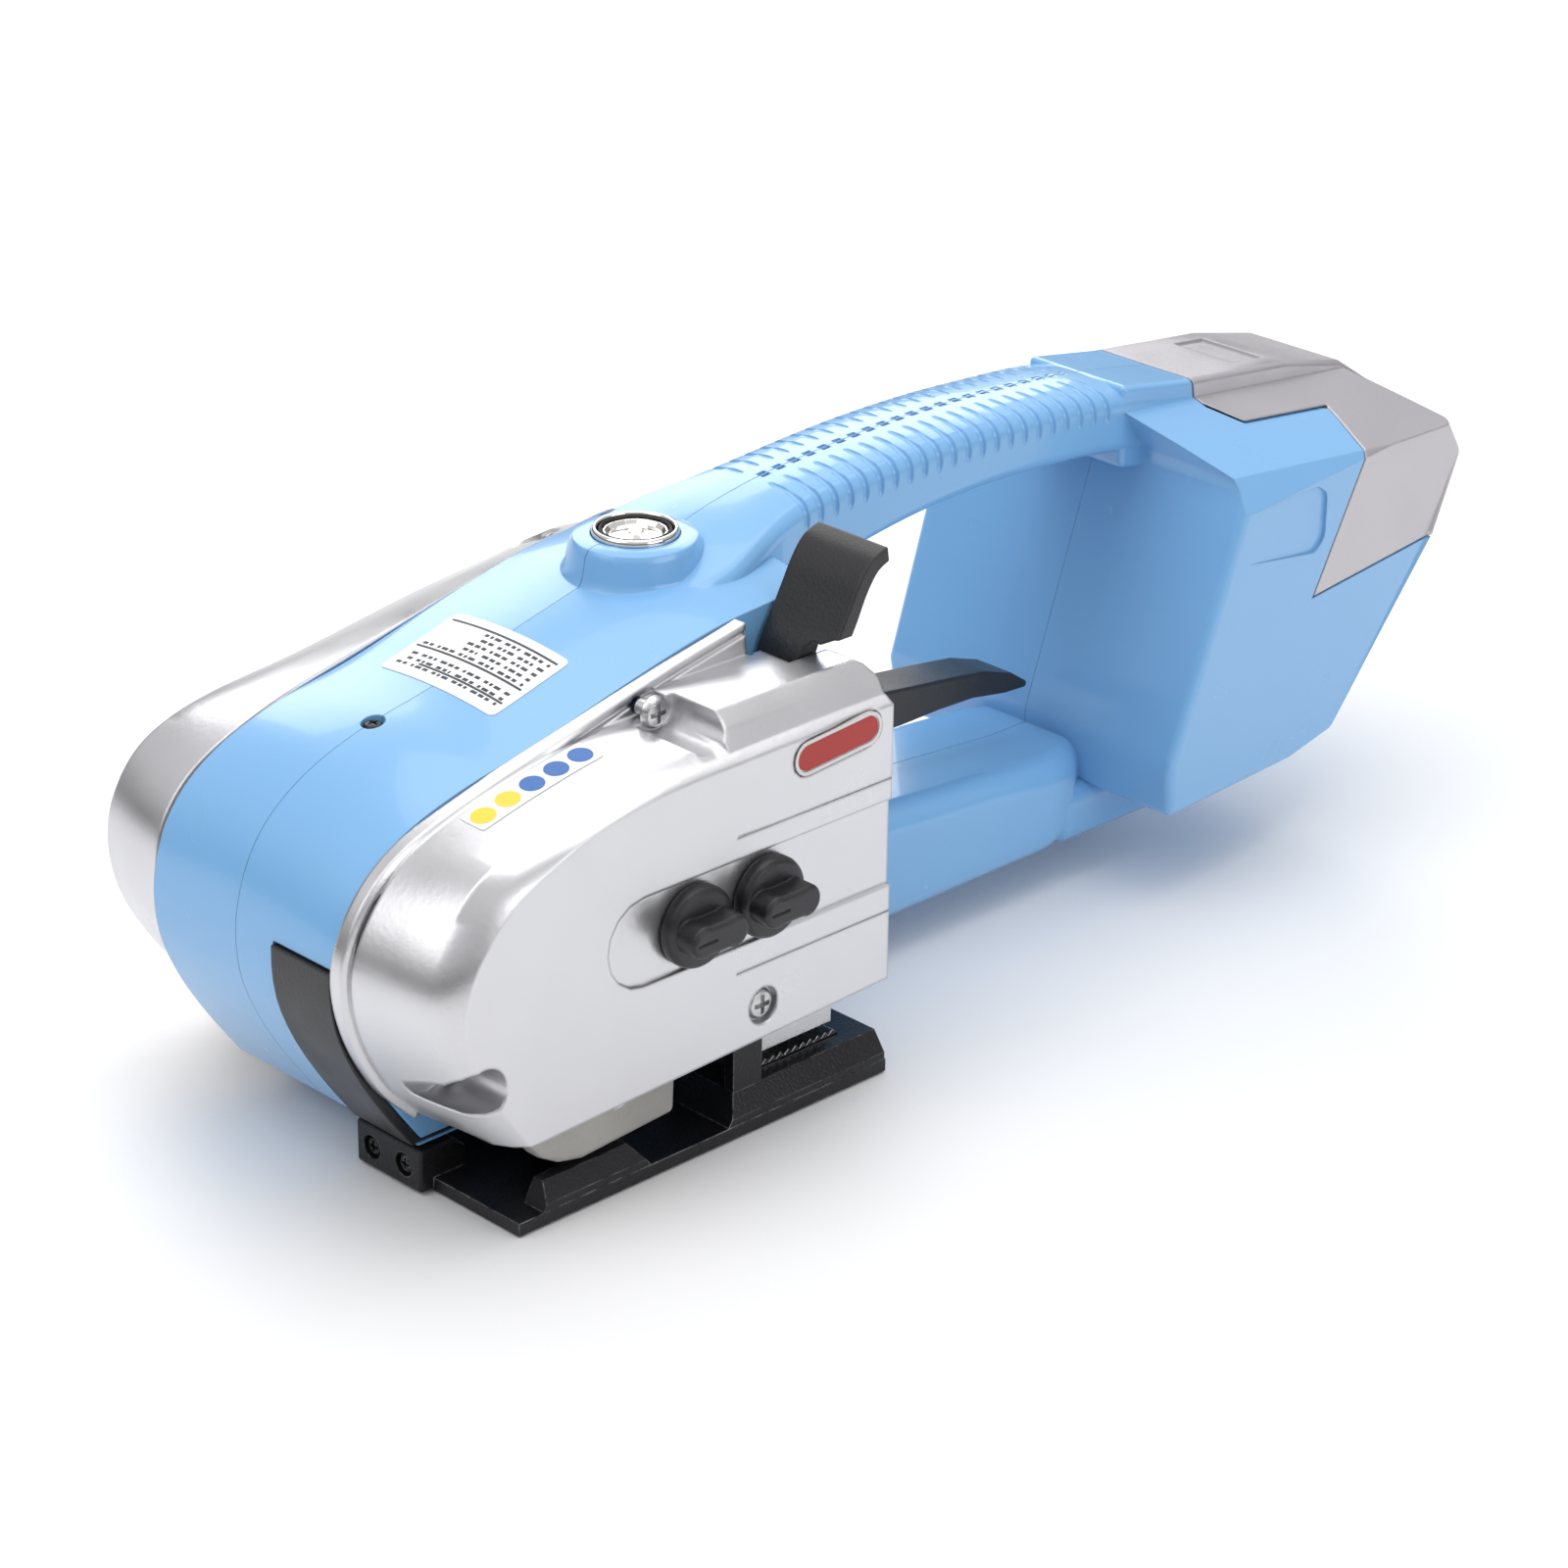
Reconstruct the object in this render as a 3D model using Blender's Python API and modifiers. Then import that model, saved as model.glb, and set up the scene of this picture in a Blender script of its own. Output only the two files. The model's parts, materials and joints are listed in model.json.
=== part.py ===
"""Battery strapping tool for 13 to 16 mm plastic strap.

X runs from the nose to the battery, Y from the strap side to the motor side, Z up from the surface that the
tool stands on. Shapes are given in millimetres from a working zero at the middle plane, under the start
button. TOOL_ORIGIN then puts the middle of the whole tool's footprint at the world's origin.
"""
import math

import bmesh
import bpy
from mathutils import Matrix, Vector

MM = 0.001
MIDDLE_X = 67.5
MIDDLE_Y = -4.7
GAP = 0.3

# Housing
WALL = 2.5
STRAP_SEAM_Y = -34.0
MOTOR_SEAM_Y = 29.5
BODY_REAR_X = 24.0
BODY_FLOOR_Z = 12.0
CROWN_Z = 58.0
STRAP_CROWN_DROP = 0.085
MOTOR_CROWN_DROP = 0.062
GRIP_HALF_WIDTH = 17.0
BOSS_TOP_Z = 122.8
BUTTON_RADIUS = 8.6
BEZEL_RADIUS = 10.3

# Covers
STRAP_FACE_Y = -66.0
MOTOR_FACE_Y = 66.0
COVER_WALL = 2.2
COVER_REAR_X = 18.6
MOTOR_COVER_REAR_X = 24.0

# Joint axes, as (x, y, z)
DRIVE_AXIS = (-38.0, 0.0, 38.0)
WHEEL_AXIS = (-62.0, 0.0, 23.6)
ECCENTRIC_AXIS = (-2.0, 0.0, 40.0)
MOTOR_AXIS = (0.0, 42.0, 37.0)
MOTOR_RADIUS = 15.0
TRIGGER_AXIS = (12.0, -3.0, 58.0)
LEVER_AXIS = (8.2, -41.0, 97.0)
TENSION_KNOB_AXIS = (-43.4, -66.0, 60.4)
WELD_KNOB_AXIS = (-21.2, -66.0, 60.4)

# Battery
CELL_RADIUS = 13.1
CELL_LENGTH = 65.0
CELL_CENTRES = ((163.0, 42.0), (191.0, 42.0), (175.5, 67.5), (203.5, 67.5), (190.0, 92.0))

# Middle plane outline, from the rear of the top round the nose to the floor
BODY_LINE = ((24, 118.5), (8, 117.6), (-10, 115.5), (-36, 109.2), (-61, 102.2), (-80, 98.3), (-95, 93.5),
             (-105.5, 87.5), (-112.5, 80.5), (-117, 71.5), (-119.2, 61), (-118.2, 49), (-113.5, 37),
             (-106, 24.5), (-97, 12))

# Strap cover outlines at the lip, beside the lip, at the edge of the band and on the outer face
STRAP_LIP = ((20, 115.5), (0, 112), (-25, 107.2), (-52, 101), (-76, 95.6), (-96, 90), (-107, 84.6),
             (-115, 76.5),
             (-120, 66), (-120.3, 56), (-117, 44), (-110, 31.5), (-101, 22))
STRAP_INNER = ((20, 99.8), (0, 99.8), (-25, 99.6), (-50, 99.2), (-75, 94.9), (-94, 89.6), (-105.3, 84),
               (-113.2, 76),
               (-118.4, 65.8), (-118.8, 56), (-115.6, 44.6), (-108.6, 32.3), (-99.6, 22.5))
STRAP_BAND = ((20, 98), (0, 98.2), (-25, 98), (-50, 97.8), (-72, 94.4), (-92, 89.8), (-102, 85),
              (-109.5, 76),
              (-114.6, 66.5), (-115.8, 57.5), (-112.6, 46.4), (-105.5, 33.5), (-97, 22.5))
STRAP_FACE = ((20, 95.2), (0, 95.2), (-25, 95), (-52, 94.4), (-72, 91.3), (-84, 87.2), (-94.3, 82.2),
              (-101.5, 75.5),
              (-106.8, 68), (-109.4, 58.5), (-107.6, 48.5), (-100.5, 35.5), (-91.7, 22.5))
STRAP_FLOOR = (22.3, 25.8)
MOTOR_FLOOR = (0.0, 0.0)

# Motor cover outlines at the seam, at the lip, at the edge of the band and on the outer face
MOTOR_SEAM = ((24, 110.5), (20, 115), (5, 113.7), (-25, 108.7), (-57, 101.6), (-80, 96), (-98, 88.3),
              (-111, 77.4),
              (-117.2, 64.5), (-117.6, 50), (-111.5, 35.5), (-102, 21.5), (-88, 8), (-70, 1.2))
MOTOR_LIP = ((24, 107.5), (20, 112), (5, 110), (-25, 104.8), (-52, 99.4), (-80, 92.6), (-100, 84.4),
             (-110.5, 74.5),
             (-114.5, 63), (-113.8, 50), (-107, 36), (-98, 22), (-84, 9), (-66, 0.2))
MOTOR_BAND = ((24, 95), (19, 100.2), (5, 98.8), (-20, 96.2), (-55, 90.9), (-80, 88), (-96, 84), (-105.5, 77),
              (-111, 65.5), (-110, 50.4), (-102.5, 35), (-91, 20), (-78, 8), (-60, 0.2))
MOTOR_FACE = ((24, 82), (19, 84.5), (10, 84.6), (-28, 84.6), (-62, 83.5), (-82, 81), (-94, 74.8), (-101, 66),
              (-103.6, 56), (-102.4, 46.5), (-96, 35), (-84, 21), (-71, 11), (-58, 5.5))

# Battery housing, seen from the side, and the roof seen from the rear
BATTERY_SIDE = ((147, 124), (159.5, 107), (135.6, 38), (137.5, 23), (213.5, 21.5), (246, 70), (256.6, 91),
                (249, 101.5), (236, 112), (212, 124))
BATTERY_HALF_WIDTH = 51.5
ROOF = ((-70, -5), (70, -5), (70, 92), (51, 97.5), (46, 105.2), (33, 110.4), (17, 116.2), (-17, 116.2),
        (-33, 110.4), (-46, 105.2), (-51, 97.5), (-70, 92))
ROOF_SLOPE = 0.1
ROOF_ZERO_X = 190.0
RIDGE = ((150, 105), (150, 126.6), (174, 122.7), (213, 118.6), (236, 113.4), (249, 105), (243, 96),
         (200, 96))
CAP_EDGE = ((192.3, 68.3), (210.2, 103), (215.6, 109.4), (183, 112.8), (177.2, 116.5), (176.3, 122.2),
            (176.3, 140), (275, 140), (275, 71), (245.6, 69.9))
CAP_GAP = 0.6


def clear_scene():
    for old in list(bpy.data.objects):
        bpy.data.objects.remove(old, do_unlink=True)


def new_collection(name):
    collection = bpy.data.collections.new(name)
    bpy.context.scene.collection.children.link(collection)
    return collection


def make_material(name, colour, roughness, metallic):
    material = bpy.data.materials.new(name)
    material.use_nodes = True
    shader = material.node_tree.nodes["Principled BSDF"]
    shader.inputs["Base Color"].default_value = (*colour, 1.0)
    shader.inputs["Roughness"].default_value = roughness
    shader.inputs["Metallic"].default_value = metallic
    material.diffuse_color = (*colour, 1.0)
    return material


clear_scene()
PARTS = new_collection("battery_strapping_tool")
CUTTERS = new_collection("cutters")
TOOL_ORIGIN = bpy.data.objects.new("tool_origin", None)
TOOL_ORIGIN.location = (-MIDDLE_X * MM, -MIDDLE_Y * MM, 0.0)
PARTS.objects.link(TOOL_ORIGIN)

BLUE = make_material("blue_plastic", (0.16, 0.41, 0.76), 0.25, 0.0)
SILVER = make_material("satin_silver", (0.62, 0.62, 0.64), 0.3, 0.85)
BLACK = make_material("black_plastic", (0.02, 0.02, 0.022), 0.45, 0.0)
STEEL = make_material("steel", (0.55, 0.55, 0.56), 0.3, 1.0)
BLACK_STEEL = make_material("black_steel", (0.03, 0.03, 0.033), 0.35, 0.9)
CAST = make_material("cast_metal", (0.3, 0.29, 0.28), 0.7, 0.8)
CHROME = make_material("chrome", (0.8, 0.8, 0.8), 0.12, 1.0)
COPPER = make_material("bronze", (0.55, 0.33, 0.16), 0.4, 1.0)
WHITE = make_material("label_white", (0.75, 0.76, 0.77), 0.5, 0.0)
GREEN = make_material("board_green", (0.02, 0.16, 0.07), 0.5, 0.0)
CELL = make_material("cell_wrap", (0.08, 0.3, 0.2), 0.4, 0.0)


# ---------------------------------------------------------------- shapes


def smooth(points, steps=2):
    """Points of a smooth curve through the given ones (Catmull-Rom), ends included."""
    ends = [points[0], *points, points[-1]]
    curve = []
    for i in range(len(points) - 1):
        p0, p1, p2, p3 = (Vector(p) for p in ends[i:i + 4])
        for k in range(steps):
            t = k / steps
            curve.append(0.5 * (2 * p1 + (p2 - p0) * t + (2 * p0 - 5 * p1 + 4 * p2 - p3) * t ** 2
                                + (3 * p1 - p0 - 3 * p2 + p3) * t ** 3))
    curve.append(Vector(points[-1]))
    return [(p[0], p[1]) for p in curve]


def inset(outline, distance):
    """The closed outline moved inwards by a distance, corners mitred."""
    area = sum(a[0] * b[1] - b[0] * a[1] for a, b in zip(outline, outline[1:] + outline[:1]))
    side = 1.0 if area > 0 else -1.0
    moved = []
    for i, point in enumerate(outline):
        before = (Vector(point) - Vector(outline[i - 1])).normalized()
        after = (Vector(outline[(i + 1) % len(outline)]) - Vector(point)).normalized()
        normal = Vector((-before.y - after.y, before.x + after.x)) * side
        normal.normalize()
        cosine = max(0.4, normal.dot(Vector((-before.y, before.x)) * side))
        moved.append(tuple(Vector(point) + normal * distance / cosine))
    return moved


def arc(centre, radius, start, end, steps):
    """Points on an arc, angles in degrees."""
    angles = [math.radians(start + (end - start) * i / steps) for i in range(steps + 1)]
    return [(centre[0] + radius * math.cos(a), centre[1] + radius * math.sin(a)) for a in angles]


def finish(name, mesh, material, origin=(0, 0, 0), crisp=35.0):
    """Makes a part from a mesh in millimetres, with its origin at a point of the tool."""
    mesh.transform(Matrix.Scale(MM, 4) @ Matrix.Translation(-Vector(origin)))
    mesh.name = name
    mesh.materials.clear()
    mesh.materials.append(material)
    mesh.shade_smooth()
    mesh.set_sharp_from_angle(angle=math.radians(crisp))
    part = bpy.data.objects.new(name, mesh)
    part.parent = TOOL_ORIGIN
    part.location = Vector(origin) * MM
    PARTS.objects.link(part)
    return part


def from_bmesh(name, shape, material, **options):
    mesh = bpy.data.meshes.new(name)
    bmesh.ops.recalc_face_normals(shape, faces=shape.faces)
    shape.to_mesh(mesh)
    shape.free()
    return finish(name, mesh, material, **options)


def box(name, low, high, material, **options):
    size = Vector(high) - Vector(low)
    centre = (Vector(high) + Vector(low)) / 2
    shape = bmesh.new()
    bmesh.ops.create_cube(shape, size=1.0, matrix=Matrix.Translation(centre) @ Matrix.Diagonal((*size, 1.0)))
    return from_bmesh(name, shape, material, **options)


TURN = {"X": Matrix.Rotation(math.pi / 2, 4, "Y"), "Y": Matrix.Rotation(-math.pi / 2, 4, "X"), "Z": Matrix()}


def rod(name, start, axis, length, radius, material, end_radius=None, segments=20, **options):
    """A round bar from a start point along an axis; end_radius makes it a cone."""
    shape = bmesh.new()
    place = Matrix.Translation(start) @ TURN[axis] @ Matrix.Translation((0, 0, length / 2))
    bmesh.ops.create_cone(shape, cap_ends=True, segments=segments, radius1=radius,
                          radius2=radius if end_radius is None else end_radius, depth=length, matrix=place)
    return from_bmesh(name, shape, material, **options)


def outline_solid(name, outline, low, high, material, axis="Y", **options):
    """A flat outline given a thickness from low to high along an axis.

    The outline's two numbers are (x, z) along Y, (y, z) along X and (x, y) along Z.
    """
    curve = bpy.data.curves.new(name + "_outline", "CURVE")
    curve.dimensions = "2D"
    curve.fill_mode = "BOTH"
    curve.extrude = abs(high - low) / 2
    spline = curve.splines.new("POLY")
    spline.points.add(len(outline) - 1)
    for point, (across, up) in zip(spline.points, outline):
        point.co = (across, up, 0.0, 1.0)
    spline.use_cyclic_u = True
    guide = bpy.data.objects.new(name + "_outline", curve)
    CUTTERS.objects.link(guide)
    middle = (low + high) / 2
    upright = Matrix(((0, 0, 1, 0), (1, 0, 0, 0), (0, 1, 0, 0), (0, 0, 0, 1)))
    place = {"Y": Matrix.Translation((0, middle, 0)) @ Matrix.Rotation(math.pi / 2, 4, "X"),
             "X": Matrix.Translation((middle, 0, 0)) @ upright,
             "Z": Matrix.Translation((0, 0, middle))}[axis]
    guide.matrix_world = place
    bpy.context.view_layer.update()
    mesh = bpy.data.meshes.new_from_object(guide.evaluated_get(bpy.context.evaluated_depsgraph_get()))
    mesh.transform(guide.matrix_world)
    bpy.data.objects.remove(guide, do_unlink=True)
    shape = bmesh.new()
    shape.from_mesh(mesh)
    bpy.data.meshes.remove(mesh)
    bmesh.ops.remove_doubles(shape, verts=shape.verts, dist=0.01)
    bmesh.ops.dissolve_limit(shape, angle_limit=0.002, verts=shape.verts, edges=shape.edges)
    return from_bmesh(name, shape, material, **options)


def loft(name, rings, material, **options):
    """A closed skin over rings that all have the same number of points."""
    shape = bmesh.new()
    rows = [[shape.verts.new(point) for point in ring] for ring in rings]
    count = len(rows[0])
    for row, following in zip(rows, rows[1:]):
        for i in range(count):
            j = (i + 1) % count
            shape.faces.new((row[i], row[j], following[j], following[i]))
    shape.faces.new(rows[0])
    shape.faces.new(rows[-1])
    return from_bmesh(name, shape, material, **options)


def turned(name, profile, origin, axis, material, segments=28, flip=False):
    """A turned piece: (radius, height) points down its outer side, swept about its axis by a Screw modifier.

    Heights run along the axis, or against it when flip is set.
    """
    mesh = bpy.data.meshes.new(name)
    closed = profile[0][0] > 0 and profile[-1][0] > 0
    edges = [(i, i + 1) for i in range(len(profile) - 1)]
    if closed:
        edges.append((len(profile) - 1, 0))
    mesh.from_pydata([(radius * MM, 0.0, height * MM) for radius, height in profile], edges, [])
    mesh.materials.append(material)
    part = bpy.data.objects.new(name, mesh)
    PARTS.objects.link(part)
    part.parent = TOOL_ORIGIN
    turn = TURN[axis] @ Matrix.Rotation(math.pi if flip else 0.0, 4, "X")
    part.location = Vector(origin) * MM
    part.rotation_euler = turn.to_euler()
    sweep = part.modifiers.new("sweep", "SCREW")
    sweep.steps = segments
    sweep.render_steps = segments
    sweep.use_merge_vertices = True
    sweep.merge_threshold = 0.00001
    sweep.use_smooth_shade = True
    return part


def rounded(part, width, segments=2, angle=40.0):
    bevel = part.modifiers.new("rounded", "BEVEL")
    bevel.width = width * MM
    bevel.segments = segments
    bevel.limit_method = "ANGLE"
    bevel.angle_limit = math.radians(angle)
    return part


def combine(part, other, operation):
    """Joins, cuts or intersects a part with another shape, which becomes a guide."""
    if other.name in PARTS.objects:
        PARTS.objects.unlink(other)
        CUTTERS.objects.link(other)
        other.hide_render = True
        other.display_type = "WIRE"
    boolean = part.modifiers.new(operation.lower(), "BOOLEAN")
    boolean.operation = operation
    boolean.solver = "EXACT"
    boolean.object = other
    return part


def join(part, *others):
    for other in others:
        combine(part, other, "UNION")
    return part


def cut(part, *others):
    for other in others:
        combine(part, other, "DIFFERENCE")
    return part


def coil(name, origin, axis, radius, wire, turns, height, material):
    """A coil spring from an origin along an axis."""
    per_turn = 9
    curve = bpy.data.curves.new(name, "CURVE")
    curve.dimensions = "3D"
    curve.bevel_depth = wire / 2
    curve.bevel_resolution = 1
    curve.use_fill_caps = True
    spline = curve.splines.new("POLY")
    total = int(turns * per_turn)
    spline.points.add(total)
    for i, point in enumerate(spline.points):
        angle = 2 * math.pi * i / per_turn
        point.co = (radius * math.cos(angle), radius * math.sin(angle), height * i / total, 1.0)
    guide = bpy.data.objects.new(name + "_path", curve)
    CUTTERS.objects.link(guide)
    guide.matrix_world = Matrix.Translation(origin) @ TURN[axis]
    bpy.context.view_layer.update()
    mesh = bpy.data.meshes.new_from_object(guide.evaluated_get(bpy.context.evaluated_depsgraph_get()))
    mesh.transform(guide.matrix_world)
    bpy.data.objects.remove(guide, do_unlink=True)
    shape = bmesh.new()
    shape.from_mesh(mesh)
    bmesh.ops.remove_doubles(shape, verts=shape.verts, dist=0.001)
    return from_bmesh(name, shape, material)


def screw(name, head, axis, head_radius, shank_radius, length, direction=1):
    """A pan head screw; head is the middle of the head's outer face and direction the way it faces."""
    height = head_radius * 0.54
    profile = [(0, 0), (head_radius * 0.72, 0), (head_radius, -height * 0.45), (head_radius, -height),
               (shank_radius, -height), (shank_radius, -length), (0, -length)]
    return turned(name, profile, head, axis, STEEL, segments=16, flip=direction < 0)


# ---------------------------------------------------------------- housing


def crowned(outline, drop):
    """The middle outline with its upper part lowered by a share of its height."""
    return [(x, CROWN_Z + (z - CROWN_Z) * (1 - drop) if z > CROWN_Z else z) for x, z in outline]


def body_block(name, side, grow):
    """The middle of the tool from the parting plane to one seam; grow moves its walls out, or in below 0."""
    seam = abs(STRAP_SEAM_Y if side < 0 else MOTOR_SEAM_Y)
    drop = STRAP_CROWN_DROP if side < 0 else MOTOR_CROWN_DROP
    closed = smooth(BODY_LINE) + [(BODY_REAR_X, BODY_FLOOR_Z)]
    stations = ((-2.0, 0.0), (seam * 0.45, 0.2), (seam * 0.78, 0.6), (seam + grow, 1.0))
    rings = []
    for depth, share in stations:
        ring = inset(crowned(closed, drop * share), -grow)
        rings.append([(x, side * depth, z) for x, z in ring])
    return loft(name, rings, BLUE)


def grip_section(half_width, top, bottom, crown, corner):
    """A rounded section with a slightly crowned top, as (y, z) points."""
    points = arc((half_width - corner, bottom + corner * 0.8), corner, -90, 0, 3)
    points = [(y, bottom + (z - (bottom - corner * 0.2)) * 0.8) for y, z in points]
    points += arc((half_width - corner, top - crown - corner), corner, 0, 72, 3)
    points += [(half_width * 0.28, top - 0.25)]
    return points + [(-y, z) for y, z in reversed(points)]


GRIP_STATIONS = ((-24, 12, 108, 92), (-8, 21, 114.6, 95), (8, 24.2, 119.6, 98), (20, 22, 123.2, 99.6),
                 (30, 19, 125.4, 101.2), (40, 17.3, 127, 103.8), (50, 17, 128, 106.2), (66, 17, 129.2,
                                                                                        109.2),
                 (84, 17, 130, 111.2), (104, 17, 130, 111.9), (124, 17, 129.1, 111.2), (142, 17, 127.9,
                                                                                        109.8),
                 (158, 17, 125.6, 107), (178, 17, 122, 103))


def grip(name, shrink):
    rings = []
    for x, half_width, top, bottom in GRIP_STATIONS:
        section = grip_section(half_width - shrink, top - shrink, bottom + shrink, 1.5, 5.0)
        rings.append([(x, y, z) for y, z in section])
    return loft(name, rings, BLUE)


def drafted(part, shrink):
    """Narrows the battery housing's sides towards its rear and its floor."""
    for vertex in part.data.vertices:
        x, y, z = vertex.co / MM
        rear = max(0.0, x - 190.0) * 0.135
        low = max(0.0, 60.0 - z) * (0.07 + max(0.0, x - 150.0) * 0.003)
        half_width = BATTERY_HALF_WIDTH - rear - low - shrink
        vertex.co.y = math.copysign(half_width, y) * MM
    return part


def battery_block(name, shrink):
    side = list(BATTERY_SIDE)
    roof = [(y, z) for y, z in ROOF]
    if shrink:
        side = inset(side, shrink)
        roof = inset(roof, shrink)
    middle = 190.0
    split = []
    for a, b in zip(side, side[1:] + side[:1]):
        split.append(a)
        if (a[0] - middle) * (b[0] - middle) < 0:
            t = (middle - a[0]) / (b[0] - a[0])
            split.append((middle, a[1] + t * (b[1] - a[1])))
    block = drafted(outline_solid(name, split, -50, 50, BLUE), shrink)
    top = outline_solid(name + "_roof", roof, 110, 280, BLUE, axis="X")
    for vertex in top.data.vertices:
        vertex.co.z -= (vertex.co.x - ROOF_ZERO_X * MM) * ROOF_SLOPE
    if not shrink:
        rounded(block, 2.6, 2, 25)
    combine(block, top, "INTERSECT")
    ridge_line = inset(list(RIDGE), shrink) if shrink else list(RIDGE)
    ridge = outline_solid(name + "_ridge", ridge_line, -16.4 + shrink, 16.4 - shrink, BLUE)
    if not shrink:
        rounded(ridge, 1.6, 2, 50)
    return join(block, ridge)


def bridge(name, shrink):
    """The hollow bar under the finger opening."""
    low, high = 8.5 + shrink, 43.0 - shrink
    front = [(y, z) for y, z in grip_bar_section(23.5 - shrink, high, low)]
    rear = [(y, z) for y, z in grip_bar_section(23.0 - shrink, high - 8, low)]
    start = 18.0 if shrink else 22.0
    rings = [[(start, y, z) for y, z in front], [(122, y, z) for y, z in rear],
             [(131 - shrink, y * 0.94, z if z > 20 else z + 1) for y, z in rear],
             [(136 - shrink, y * 0.8, z if z > 20 else z + 2) for y, z in rear],
             [(147 - shrink, y * 0.5, z if z > 20 else z + 4) for y, z in rear]]
    return loft(name, rings, BLUE)


def grip_bar_section(half_width, top, bottom):
    corner = 7.0
    points = arc((half_width - corner, bottom + corner), corner, -90, 0, 3)
    points += arc((half_width - corner, top - corner), corner, 0, 90, 3)
    return points + [(-y, z) for y, z in reversed(points)]


def button_boss():
    profile = [(0, BOSS_TOP_Z), (12.6, BOSS_TOP_Z), (14.6, BOSS_TOP_Z - 0.6), (15.6, BOSS_TOP_Z - 2.2),
               (16.4, 116), (18.4, 112.6), (20.5, 110), (20.5, 104), (0, 104)]
    return turned("boss", profile, (0, 0, 0), "Z", BLUE, segments=32)


OUTER_GRIP = grip("grip_outer", 0.0)
INNER_GRIP = grip("grip_inner", WALL)
OUTER_BATTERY = battery_block("battery_outer", 0.0)
INNER_BATTERY = battery_block("battery_inner", WALL)
OUTER_BRIDGE = bridge("bridge_outer", 0.0)
INNER_BRIDGE = bridge("bridge_inner", WALL)
BRIDGE_FOOT = rounded(box("bridge_foot", (126, -22.6, 9.0), (170, 22.6, 24.4), BLUE), 5.0, 2)
BOSS = button_boss()
BUTTON_WELL = rod("button_well", (0, 0, 96), "Z", 40, 9.0, BLUE, segments=28)
BEZEL_SEAT = rod("bezel_seat", (0, 0, BOSS_TOP_Z - 1.2), "Z", 10, BEZEL_RADIUS + 0.25, BLUE, segments=28)
TRIGGER_SLOT = box("trigger_slot", (20, -10.4, 45), (40, 4.4, 80), BLUE)
CAP_REGION = outline_solid("cap_region", inset(list(CAP_EDGE), -CAP_GAP), -80, 80, BLUE)

# Shell screws as (name, x, z), all driven from the motor side
SHELL_SCREWS = (("shell_screw_front", 33.7, 111.2), ("shell_screw_rear", 150.7, 117.6),
                ("shell_screw_bridge", 111.2, 27.5))


def half_shell(name, side):
    shell = body_block(name, side, 0.0)
    join(shell, OUTER_GRIP, OUTER_BRIDGE, BRIDGE_FOOT, OUTER_BATTERY, BOSS)
    hollow = body_block(name + "_hollow", side, -WALL)
    cut(shell, hollow, INNER_GRIP, INNER_BRIDGE, INNER_BATTERY, CAP_REGION)
    for label, x, z in SHELL_SCREWS:
        outer = 21.5 if "bridge" in label else 15.6
        join(shell, rod(name + label, (x, 0 if side > 0 else -outer, z), "Y", outer, 5.4, BLUE, segments=16))
    half_low, half_high = (GAP / 2, 90) if side > 0 else (-90, -GAP / 2)
    half = box(name + "_half", (-150, half_low, -20), (300, half_high, 160), BLUE)
    combine(shell, half, "INTERSECT")
    for label, x, z in SHELL_SCREWS:
        cut(shell, rod(name + label + "_hole", (x, -12, z), "Y", 60, 1.9, BLUE, segments=12))
        if side > 0:
            depth = 12.0 if "bridge" in label else 8.0
            cut(shell, rod(name + label + "_sink", (x, depth, z), "Y", 40, 4.1, BLUE, segments=16))
    cut(shell, BUTTON_WELL, BEZEL_SEAT, TRIGGER_SLOT)
    cut(shell, rod(name + "_top_sink", (-79, 0, 96.6), "Z", 9, 2.8, BLUE, segments=12),
        rod(name + "_top_hole", (-79, 0, 90), "Z", 9, 1.6, BLUE, segments=12))
    return shell


def guard_shape(name, material, outwards, inwards, low, high, end=-84.0):
    """A crescent wrapped round the nose on the strap side; low and high are opposite corners as (y, z)."""
    closed = smooth(BODY_LINE, 3) + [(BODY_REAR_X, BODY_FLOOR_Z)]
    shape = outline_solid(name, inset(closed, -outwards), low[0], high[0], material)
    cut(shape, outline_solid(name + "_inside", inset(closed, inwards), low[0] - 5, high[0] + 5, material))
    window = box(name + "_window", (-150, low[0] - 2, low[1]), (end, high[0] + 2, high[1]), material)
    return combine(shape, window, "INTERSECT")


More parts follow.
